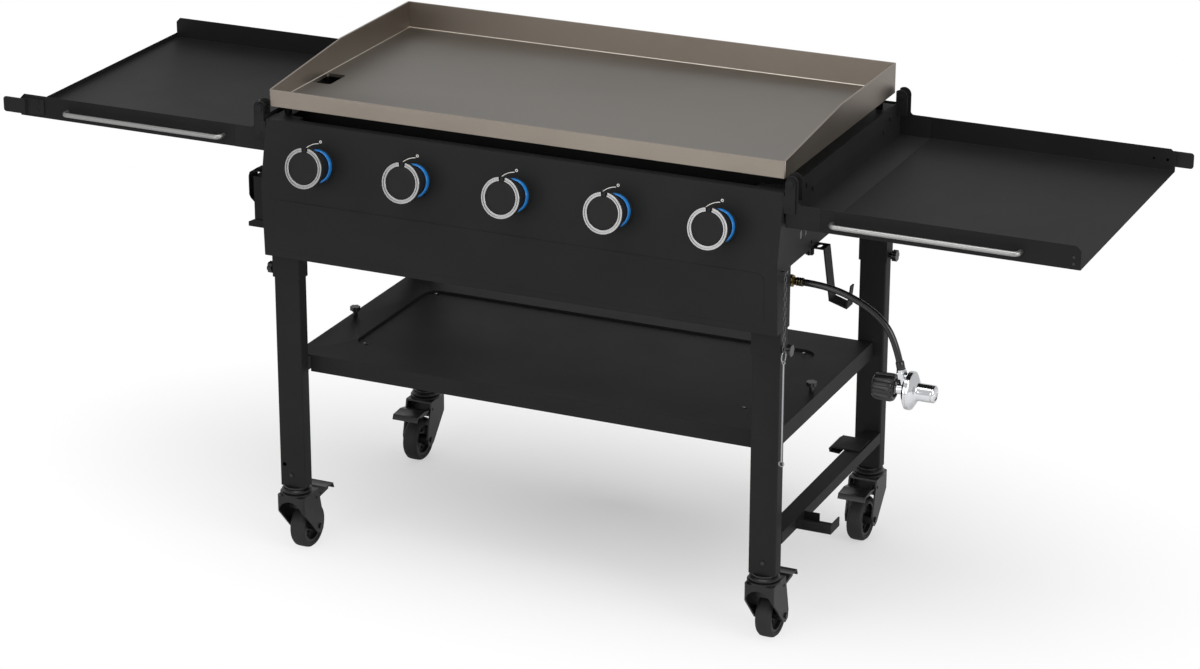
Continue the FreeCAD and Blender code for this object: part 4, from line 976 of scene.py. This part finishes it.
# Each place of the hand wheel is radius, height and the share of its grooves
HAND_WHEEL_PROFILE = (
    (5.05, 1.8, 0.0),
    (10.0, 1.4, 0.0),
    (15.0, 1.0, 0.0),
    (18.0, 2.0, 0.3),
    (20.2, 4.0, 0.8),
    (21.4, 7.0, 1.0),
    (22.0, 11.0, 1.0),
    (22.6, 23.0, 1.0),
    (22.8, 29.0, 1.0),
    (22.4, 32.6, 0.9),
    (21.2, 35.0, 0.6),
    (19.4, 36.4, 0.3),
    (17.0, 36.8, 0.0),
    (15.8, 36.5, 0.0),
    (15.0, 35.4, 0.0),
    (14.6, 33.8, 0.0),
    (11.4, 33.6, 0.0),
    (11.0, 34.0, 0.0),
    (10.6, 36.2, 0.0),
    (10.0, 36.7, 0.0),
    (5.05, 36.8, 0.0),
)


def hose_direction():
    """The way that the hose's last stretch points."""
    run = tray_point(*HOSE_POINTS[-1]) - tray_point(*HOSE_POINTS[-2])
    return run / np.linalg.norm(run)


def make_hose():
    """A smooth spline through the route's control points, given a round section."""
    curve = bpy.data.curves.new("gas_hose_run", "CURVE")
    curve.dimensions = "3D"
    curve.bevel_depth = HOSE_RADIUS
    curve.bevel_resolution = 6
    curve.use_fill_caps = True
    curve.resolution_u = 24
    spline = curve.splines.new("NURBS")
    spline.points.add(len(HOSE_POINTS) - 1)
    for point, where in zip(spline.points, HOSE_POINTS):
        point.co = (*tray_point(*where), 1.0)
    spline.order_u = 3
    spline.use_endpoint_u = True
    curve.materials.append(FINISHES["hose_rubber"])
    hose = bpy.data.objects.new("gas_hose_run", curve)
    bpy.context.scene.collection.objects.link(hose)
    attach(hose, "stand")
    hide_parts("gas_hose")
    return hose


def hexagon_nut(base, axis, across):
    """Six flats with chamfered ends: the radius follows a hexagon's edge round the axis."""

    def edge(angle):
        step = np.mod(angle + math.pi / 6, math.pi / 3) - math.pi / 6
        return across / 2 * (1 / np.cos(step) - 1)

    half = across / 2
    soft = NUT_CHAMFER
    profile = [
        (half - soft, 0, 0.0),
        (half, soft * 0.4, 0.6),
        (half, soft, 1.0),
        (half, NUT_LENGTH - soft, 1.0),
        (half, NUT_LENGTH - soft * 0.4, 0.6),
        (half - soft, NUT_LENGTH, 0.0),
    ]
    return turned(profile, base, axis, 72, edge)


def inlet_pieces():
    """Turned brass nut and sleeve at the side panel, then a crimped ferrule with three ridges."""
    start = tray_point(*INLET_START)
    nut = hexagon_nut(start, X_AXIS, INLET_NUT_ACROSS)
    sleeve = turned(metres(INLET_SLEEVE_PROFILE), start, X_AXIS, 48)
    ferrule = turned(metres(FERRULE_PROFILE), start, X_AXIS, 64)
    return mesh_of("gas_inlet_nut", [nut, sleeve]), mesh_of("hose_ferrule", [ferrule])


def regulator_skins():
    """The turned housing and spigot, and the turned collar and nut that take the hose."""
    centre = tray_point(*REGULATOR_CENTRE)
    housing = turned(metres(REGULATOR_PROFILE), centre, X_AXIS, 96)
    spigot = turned(metres(SPIGOT_PROFILE), centre, X_AXIS, 32)
    end = tray_point(*HOSE_POINTS[-1])
    along = hose_direction()
    collar = turned(metres(COLLAR_PROFILE), end, along, 48)
    nut = hexagon_nut(end + along * COLLAR_NUT_FROM, along, COLLAR_NUT_ACROSS)
    return [housing, spigot, collar, nut]


def hose_sleeve():
    """A crimped sleeve, turned round the last of the hose above the regulator's collar."""
    return turned(metres(HOSE_SLEEVE_PROFILE), tray_point(*HOSE_POINTS[-1]), hose_direction(), 48)


def hand_wheel():
    """The hand wheel's profile carried round the regulator's axis, with grooves for the fingers."""
    profile = [(radius / 1000, height / 1000, share) for radius, height, share in HAND_WHEEL_PROFILE]
    start = tray_point(*REGULATOR_CENTRE) - X_AXIS * HAND_WHEEL_BEHIND
    return ringed(profile, start, X_AXIS, 180, hand_grooves)


def hand_grooves(angle):
    """Broad lobes with narrow valleys between them: a steep cosine, cut off above and below."""
    wave = np.cos(LOBE_COUNT * angle) * LOBE_STEEPNESS
    return LOBE_HEIGHT * np.clip(wave, -1, LOBE_CUT) - LOBE_INSET


class STATION_OT_hose(bpy.types.Operator):
    """Make the gas hose with its fitting, the regulator and the hand wheel"""

    bl_idname = "station.hose"
    bl_label = "Hose and regulator"

    def execute(self, context):
        fitting, ferrule = inlet_pieces()
        placed(fitting, "stand", FINISHES["brass"], ["gas_inlet"])
        placed(ferrule, "stand", FINISHES["dark_brass"], ["gas_inlet"])
        housing = mesh_of("regulator_housing", regulator_skins(), 30.0)
        regulator = placed(housing, "stand", FINISHES["chrome"], ["regulator"])
        sleeve = mesh_of("hose_sleeve", [hose_sleeve()])
        sleeve = placed(sleeve, "stand", FINISHES["hose_rubber"], ["gas_hose"])
        wheel = mesh_of("hand_wheel", [hand_wheel()], 50.0)
        plastic = FINISHES["black_plastic"]
        wheel = placed(wheel, "coupling_wheel", plastic, ["regulator_wheel"])
        hose = make_hose()
        return {"FINISHED"}


# Lighting rod's chain: oval wire links, each turned a quarter against the last
CHAIN_X = 466.0
CHAIN_Y = -12.5
CHAIN_FIRST = -151.6
LINK_COUNT = 16
LINK_PITCH = 8.4
LINK_HALF = 5.8
LINK_BEND = 0.0026
RING_RADIUS = 9.4
RING_CENTRE_Z = -290.6
ROD_RADIUS = 1.3
ROD_FOOT_Z = -470.0
TOP_EYE_RADIUS = 2.4
TOP_EYE_RISE = 2.0
LOW_EYE_RADIUS = 4.2


def chain_link(centre, sideways):
    """Round wire carried along an oval: two half circles joined by straight sides."""
    wire = sizes().link_wire
    bend = LINK_BEND - wire
    straight = LINK_HALF / 1000 - wire - bend
    turn = np.linspace(0, math.pi, 9)
    upper = np.stack([np.cos(turn) * bend, np.sin(turn) * bend + straight], -1)
    oval = np.concatenate([upper, -upper])
    path = centre + oval[:, :1] * sideways + oval[:, 1:] * Z_AXIS
    return carried(path, round_section(wire, 8), np.cross(sideways, Z_AXIS), closed=True)


def wire_loop(centre, sideways, radius):
    """Round wire carried round an upright circle, whose radius is in millimetres."""
    reach = radius / 1000
    path = arc(centre, sideways * reach, Z_AXIS * reach, 0, 2 * math.pi, 41)[:-1]
    normal = np.cross(sideways, Z_AXIS)
    return carried(path, round_section(sizes().ring_wire, 10), normal, closed=True)


def rod_skins():
    """The ring that hangs in the chain, and a straight wire with an eye at each end."""
    eye_z = RING_CENTRE_Z - RING_RADIUS - TOP_EYE_RADIUS + TOP_EYE_RISE
    ring = wire_loop(tray_point(CHAIN_X, CHAIN_Y, RING_CENTRE_Z), Y_AXIS, RING_RADIUS)
    top_eye = wire_loop(tray_point(CHAIN_X, CHAIN_Y, eye_z), X_AXIS, TOP_EYE_RADIUS)
    foot = tray_point(CHAIN_X, CHAIN_Y, ROD_FOOT_Z)
    length = eye_z - TOP_EYE_RADIUS - ROD_FOOT_Z
    bar = turned(metres([(ROD_RADIUS, 0.0), (ROD_RADIUS, length)]), foot, Z_AXIS, 16)
    low_eye = wire_loop(foot - Z_AXIS * LOW_EYE_RADIUS / 1000, X_AXIS, LOW_EYE_RADIUS)
    return [ring, top_eye, bar, low_eye]


class STATION_OT_chain(bpy.types.Operator):
    """Make the chain and the lighting rod that hangs on it"""

    bl_idname = "station.chain"
    bl_label = "Lighting chain"

    def execute(self, context):
        skins = []
        for index in range(LINK_COUNT):
            centre = tray_point(CHAIN_X, CHAIN_Y, CHAIN_FIRST - LINK_PITCH * index)
            skins.append(chain_link(centre, X_AXIS if index % 2 else Y_AXIS))
        mesh = mesh_of("lighting_chain_links", skins)
        placed(mesh, "chain", FINISHES["dark_steel"], ["lighting_chain"])
        rod = mesh_of("lighting_rod_wire", rod_skins())
        placed(rod, "lighter_rod", FINISHES["zinc_steel"], ["lighting_rod"])
        return {"FINISHED"}


# Wheels: a rubber tread on a moulded hub
HUB_REACH = 0.038


def loose_parts(mesh):
    """Gives each vertex the lowest vertex number that its chain of edges leads to."""
    ends = np.empty(2 * len(mesh.edges), dtype=int)
    mesh.edges.foreach_get("vertices", ends)
    first, second = ends.reshape(-1, 2).T
    label = np.arange(len(mesh.vertices))
    settled = False
    while not settled:
        lowest = np.minimum(label[first], label[second])
        lower = label.copy()
        np.minimum.at(lower, first, lowest)
        np.minimum.at(lower, second, lowest)
        settled = bool((lower == label).all())
        label = lower
    return label


def mark_hub(mesh, axle):
    """Gives the second material to each separate part that stays within the hub's reach."""
    places = np.empty(3 * len(mesh.vertices))
    mesh.vertices.foreach_get("co", places)
    places = places.reshape(-1, 3) - axle
    reach = np.hypot(places[:, 1], places[:, 2])
    label = loose_parts(mesh)
    widest = np.zeros(len(label))
    np.maximum.at(widest, label, reach)
    is_hub = widest[label] < HUB_REACH
    corner_starts = np.empty(len(mesh.polygons), dtype=int)
    mesh.polygons.foreach_get("loop_start", corner_starts)
    corners = np.empty(len(mesh.loops), dtype=int)
    mesh.loops.foreach_get("vertex_index", corners)
    mesh.polygons.foreach_set("material_index", is_hub[corners[corner_starts]].astype(int))


# The web across each caster's fork, between its swivel and its wheel
WEB_TOP = 0.1097
WEB_LOW = 0.076
WEB_HALF = 0.0226
WEB_BEHIND = 0.0115
WEB_THICK = 0.0018


def fork_web(corner):
    """A thin plate: an upright rectangle behind the swivel, joined to its copy in front of it."""
    pivot = np.array(JOINTS[corner + "_swivel"]["pos_m"], float)
    behind = 1 if corner.startswith("front") else -1
    edge = [(-WEB_HALF, WEB_LOW), (WEB_HALF, WEB_LOW), (WEB_HALF, WEB_TOP), (-WEB_HALF, WEB_TOP)]
    across, height = np.array(edge).T
    near = np.stack([pivot[0] + across, np.full(4, pivot[1] + behind * WEB_BEHIND), height], -1)
    far = near - (0, behind * WEB_THICK, 0)
    return skin(with_poles(np.stack([near, far])), close_v=True)


class STATION_OT_wheels(bpy.types.Operator):
    """Make the casters' treads and hubs, and the webs inside their forks"""

    bl_idname = "station.wheels"
    bl_label = "Wheels"

    def execute(self, context):
        for corner in CORNERS:
            name = "caster_wheel_" + corner
            wheel = edged_copy(name, sizes().sheet_edge)
            wheel.data.materials.append(FINISHES["wheel_hub"])
            mark_hub(wheel.data, np.array(JOINTS[corner + "_roll"]["pos_m"], float))
            web = mesh_of("fork_web_" + corner, [fork_web(corner)])
            body = NODES["caster_fork_" + corner]["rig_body"]
            placed(web, body, FINISHES["caster_steel"])
        return {"FINISHED"}


# Small bolt heads, and near-black discs over holes as painted shade, each as x, y, z, radius and rise in
# millimetres
SHELF_SCREWS = [(x, y, -443.0, 2.4, 1.0) for x in (-350.0, 350.0) for y in (113.0, 383.0)]
LEG_HOLE_SHADE = [(-447.5, -4.6, -638.8, 3.6, 0.15)]
LEFT_EAR_BOLTS = [(-471.5, -8.5, 9.0, 3.2, 1.2), (-472.3, -8.5, -26.3, 2.6, 1.2)]
RIGHT_SHELF_HOLE_SHADE = [(903.4, 510.5, -56.6, 2.0, 0.15), (926.5, 510.5, -56.5, 2.6, 0.15)]
RIGHT_SHELF_BOLTS = [(928.3, -8.5, -56.3, 2.2, 0.8), (928.3, -8.5, -67.1, 2.2, 0.8)]
HEAD_SUNK = -0.2


def domed_heads(spots, axis):
    """Low domes turned round the axis: a short wall, a shoulder and a nearly flat top."""
    heads = []
    for x, y, z, radius, rise in spots:
        wall = [(radius, HEAD_SUNK), (radius, rise * 0.5)]
        top = [(radius * 0.8, rise * 0.85), (radius * 0.3, rise)]
        heads.append(turned(metres(wall + top), tray_point(x, y, z), axis, 20))
    return heads


# Towel-bar handles, from the boxes of their CAD nodes
HANDLE_RADIUS = 0.004
HANDLE_BEND = 0.009


def handle_bar(name):
    """A circle carried along the shelf's front, and round a quarter turn at each end to its wall."""
    low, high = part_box(name)
    level = (low.z + high.z) / 2
    first = np.array((low.x + HANDLE_RADIUS, high.y, level))
    last = np.array((high.x - HANDLE_RADIUS, high.y, level))
    out = -Y_AXIS * (high.y - low.y - HANDLE_RADIUS - HANDLE_BEND)
    bend = X_AXIS * HANDLE_BEND
    near = arc(first + out + bend, -bend, -Y_AXIS * HANDLE_BEND, 0, math.pi / 2, 13)
    far = arc(last + out - bend, -Y_AXIS * HANDLE_BEND, bend, 0, math.pi / 2, 13)
    path = np.concatenate([[first], near, np.linspace(near[-1], far[0], 40)[1:-1], far, [last]])
    return carried(path, round_section(HANDLE_RADIUS, 24), Z_AXIS)


class STATION_OT_details(bpy.types.Operator):
    """Make the handles, the small bolt heads and screw ends, and near-black discs over holes as painted
    shade
    """

    bl_idname = "station.details"
    bl_label = "Handles and details"

    def execute(self, context):
        screws = mesh_of("shelf_screws", domed_heads(SHELF_SCREWS, Z_AXIS))
        placed(screws, "stand", FINISHES["zinc_steel"])
        # Painted shade: a near-black disc over the leg's hole
        hole = mesh_of("leg_hole", domed_heads(LEG_HOLE_SHADE, -Y_AXIS))
        placed(hole, "stand", FINISHES["dark_hole"])
        left = mesh_of("left_ear_bolts", domed_heads(LEFT_EAR_BOLTS, -Y_AXIS))
        placed(left, "left_shelf", FINISHES["black_zinc"])
        right = mesh_of("right_shelf_bolts", domed_heads(RIGHT_SHELF_BOLTS, -Y_AXIS))
        placed(right, "right_shelf", FINISHES["black_plastic"])
        # Painted shade: near-black discs over two of the right shelf's holes
        holes = mesh_of("right_shelf_holes", domed_heads(RIGHT_SHELF_HOLE_SHADE, -Y_AXIS))
        placed(holes, "right_shelf", FINISHES["dark_hole"])
        for side in SIDES:
            name = side + "_handle"
            bar = mesh_of(name + "_bar", [handle_bar(name)])
            placed(bar, side + "_shelf", FINISHES["handle_steel"], [name])
        return {"FINISHED"}


# Stage: floor, world, lamps and camera
CAMERA_PLACE = (2.33784, FRONT_Y - 4.87303, 2.54526)
CAMERA_YAW = math.radians(24.252)
CAMERA_PITCH = math.radians(20.965)
CAMERA_ROLL = math.radians(0.126)
CAMERA_LENS = 106.17
CAMERA_SENSOR = 36.0
WORLD_LIGHT = 0.5
WORLD_GLOSS = 0.65
# Name, place, target, width and power of each lamp
LAMPS = (
    ("SideLamp", (4.2, -1.4, 2.0), (0.0, 0.0, 0.6), 2.4, 70.0),
    ("TopLamp", (0.3, -0.6, 4.0), (0.0, 0.0, 0.7), 3.0, 60.0),
    ("FrontLamp", (-1.0, -4.2, 1.7), (0.0, 0.0, 0.7), 2.6, 36.0),
)
# The floor turns white from the middle of an oval to its rim
FLOOR_HALF = 8.0
OVAL_SHIFT = (0.0, -0.2, 0.0)
OVAL_SQUEEZE = (1.0, 1.8, 1.0)
OVAL_RIM = 1.15
OVAL_MIDDLE_WHITE = 0.2


def camera_axes():
    """Right, up and forward: yawed from +Y towards -X, pitched down, then rolled."""
    yaw, pitch, roll = CAMERA_YAW, CAMERA_PITCH, CAMERA_ROLL
    forward = Vector(
        (-math.sin(yaw) * math.cos(pitch), math.cos(yaw) * math.cos(pitch), -math.sin(pitch))
    )
    level = Vector((math.cos(yaw), math.sin(yaw), 0.0))
    upright = level.cross(forward)
    right = math.cos(roll) * level + math.sin(roll) * upright
    up = math.cos(roll) * upright - math.sin(roll) * level
    return right, up, forward


def make_camera():
    """The photograph's camera, at its own place and angle."""
    right, up, forward = camera_axes()
    turn = Matrix((right, up, -forward)).transposed()
    data = bpy.data.cameras.new("StationCamera")
    data.sensor_fit = "HORIZONTAL"
    data.sensor_width = CAMERA_SENSOR
    data.lens = CAMERA_LENS
    camera = bpy.data.objects.new("StationCamera", data)
    bpy.context.scene.collection.objects.link(camera)
    camera.matrix_world = Matrix.Translation(CAMERA_PLACE) @ turn.to_4x4()
    bpy.context.scene.camera = camera


def make_world():
    """White for the camera, softer in reflections, and softer still where it lights the object."""
    world = bpy.data.worlds.new("Studio")
    bpy.context.scene.world = world
    world.use_nodes = True
    tree = world.node_tree
    tree.nodes.clear()
    path = node(tree, "ShaderNodeLightPath")
    seen = maths(tree, "MAXIMUM", path.outputs["Is Camera Ray"], path.outputs["Is Transmission Ray"])
    mirrored = maths(tree, "MULTIPLY", path.outputs["Is Glossy Ray"], WORLD_GLOSS)
    strength = maths(tree, "MAXIMUM", maths(tree, "MAXIMUM", seen, mirrored), WORLD_LIGHT)
    mixed = node(tree, "ShaderNodeBackground", {"Color": (1, 1, 1, 1), "Strength": strength})
    result = node(tree, "ShaderNodeOutputWorld")
    tree.links.new(mixed.outputs[0], result.inputs[0])


def make_lamp(name, place, target, size, power):
    """A round lamp that faces its target."""
    data = bpy.data.lights.new(name, "AREA")
    data.shape = "DISK"
    data.size = size
    data.energy = power
    lamp = bpy.data.objects.new(name, data)
    bpy.context.scene.collection.objects.link(lamp)
    aim = Vector(target) - Vector(place)
    lamp.matrix_world = Matrix.Translation(place) @ aim.to_track_quat("-Z", "Y").to_matrix().to_4x4()


def make_floor():
    """A pale floor that keeps the shadow near the object and turns white away from it."""
    place = np.linspace(-FLOOR_HALF, FLOOR_HALF, 9)
    x, y = np.meshgrid(place, place, indexing="ij")
    points, faces = skin(np.stack([x, y, np.zeros_like(x)], -1))
    mesh = bpy.data.meshes.new("StudioFloor")
    mesh.from_pydata(points.tolist(), [], faces.tolist())
    floor = bpy.data.objects.new("StudioFloor", mesh)
    bpy.context.scene.collection.objects.link(floor)
    material, tree, shader = new_finish("StudioFloor", specular=0.1)
    shader.inputs["Base Color"].default_value = (*colours().floor, 1.0)
    shader.inputs["Roughness"].default_value = 0.9
    where = node(tree, "ShaderNodeTexCoord").outputs["Object"]
    centred = vector_maths(tree, "ADD", where, OVAL_SHIFT).outputs[0]
    squeezed = vector_maths(tree, "MULTIPLY", centred, OVAL_SQUEEZE).outputs[0]
    distance = vector_maths(tree, "LENGTH", squeezed).outputs["Value"]
    away = spread(tree, distance, OVAL_MIDDLE_WHITE, 1.0, 0.0, OVAL_RIM)
    path = node(tree, "ShaderNodeLightPath")
    seen = maths(tree, "MULTIPLY", away, path.outputs["Is Camera Ray"])
    white = node(tree, "ShaderNodeEmission", {"Color": (1, 1, 1, 1), "Strength": 1.0})
    mixed = node(tree, "ShaderNodeMixShader", {0: seen, 1: shader.outputs[0], 2: white.outputs[0]})
    tree.links.new(mixed.outputs[0], tree.nodes["Material Output"].inputs["Surface"])
    mesh.materials.append(material)


class STATION_OT_stage(bpy.types.Operator):
    """Make the floor, the studio light and the camera"""

    bl_idname = "station.stage"
    bl_label = "Stage"

    def execute(self, context):
        context.scene.view_settings.view_transform = "Standard"
        make_world()
        make_floor()
        for lamp in LAMPS:
            make_lamp(*lamp)
        make_camera()
        return {"FINISHED"}


class STATION_PT_panel(bpy.types.Panel):
    """Lists the station's settings and steps"""

    bl_idname = "STATION_PT_panel"
    bl_label = "Griddle Station"
    bl_space_type = "VIEW_3D"
    bl_region_type = "UI"
    bl_category = "Griddle Station"

    def draw(self, context):
        for group in (context.scene.station_sizes, context.scene.station_colours):
            for name in group.bl_rna.properties.keys():
                if name not in ("rna_type", "name"):
                    self.layout.prop(group, name)
        for step in STEPS:
            self.layout.operator(step.bl_idname)


STEPS = [
    STATION_OT_finishes,
    STATION_OT_hose,
    STATION_OT_sheets,
    STATION_OT_griddle,
    STATION_OT_knobs,
    STATION_OT_chain,
    STATION_OT_wheels,
    STATION_OT_details,
    STATION_OT_stage,
]
CLASSES = [StationColours, StationSizes, *STEPS, STATION_PT_panel]


def register():
    for made in CLASSES:
        bpy.utils.register_class(made)
    bpy.types.Scene.station_colours = bpy.props.PointerProperty(type=StationColours)
    bpy.types.Scene.station_sizes = bpy.props.PointerProperty(type=StationSizes)


def unregister():
    del bpy.types.Scene.station_sizes
    del bpy.types.Scene.station_colours
    for made in reversed(CLASSES):
        bpy.utils.unregister_class(made)


def main():
    register()
    for step in STEPS:
        family, name = step.bl_idname.split(".")
        getattr(getattr(bpy.ops, family), name)()


if __name__ == "__main__":
    main()
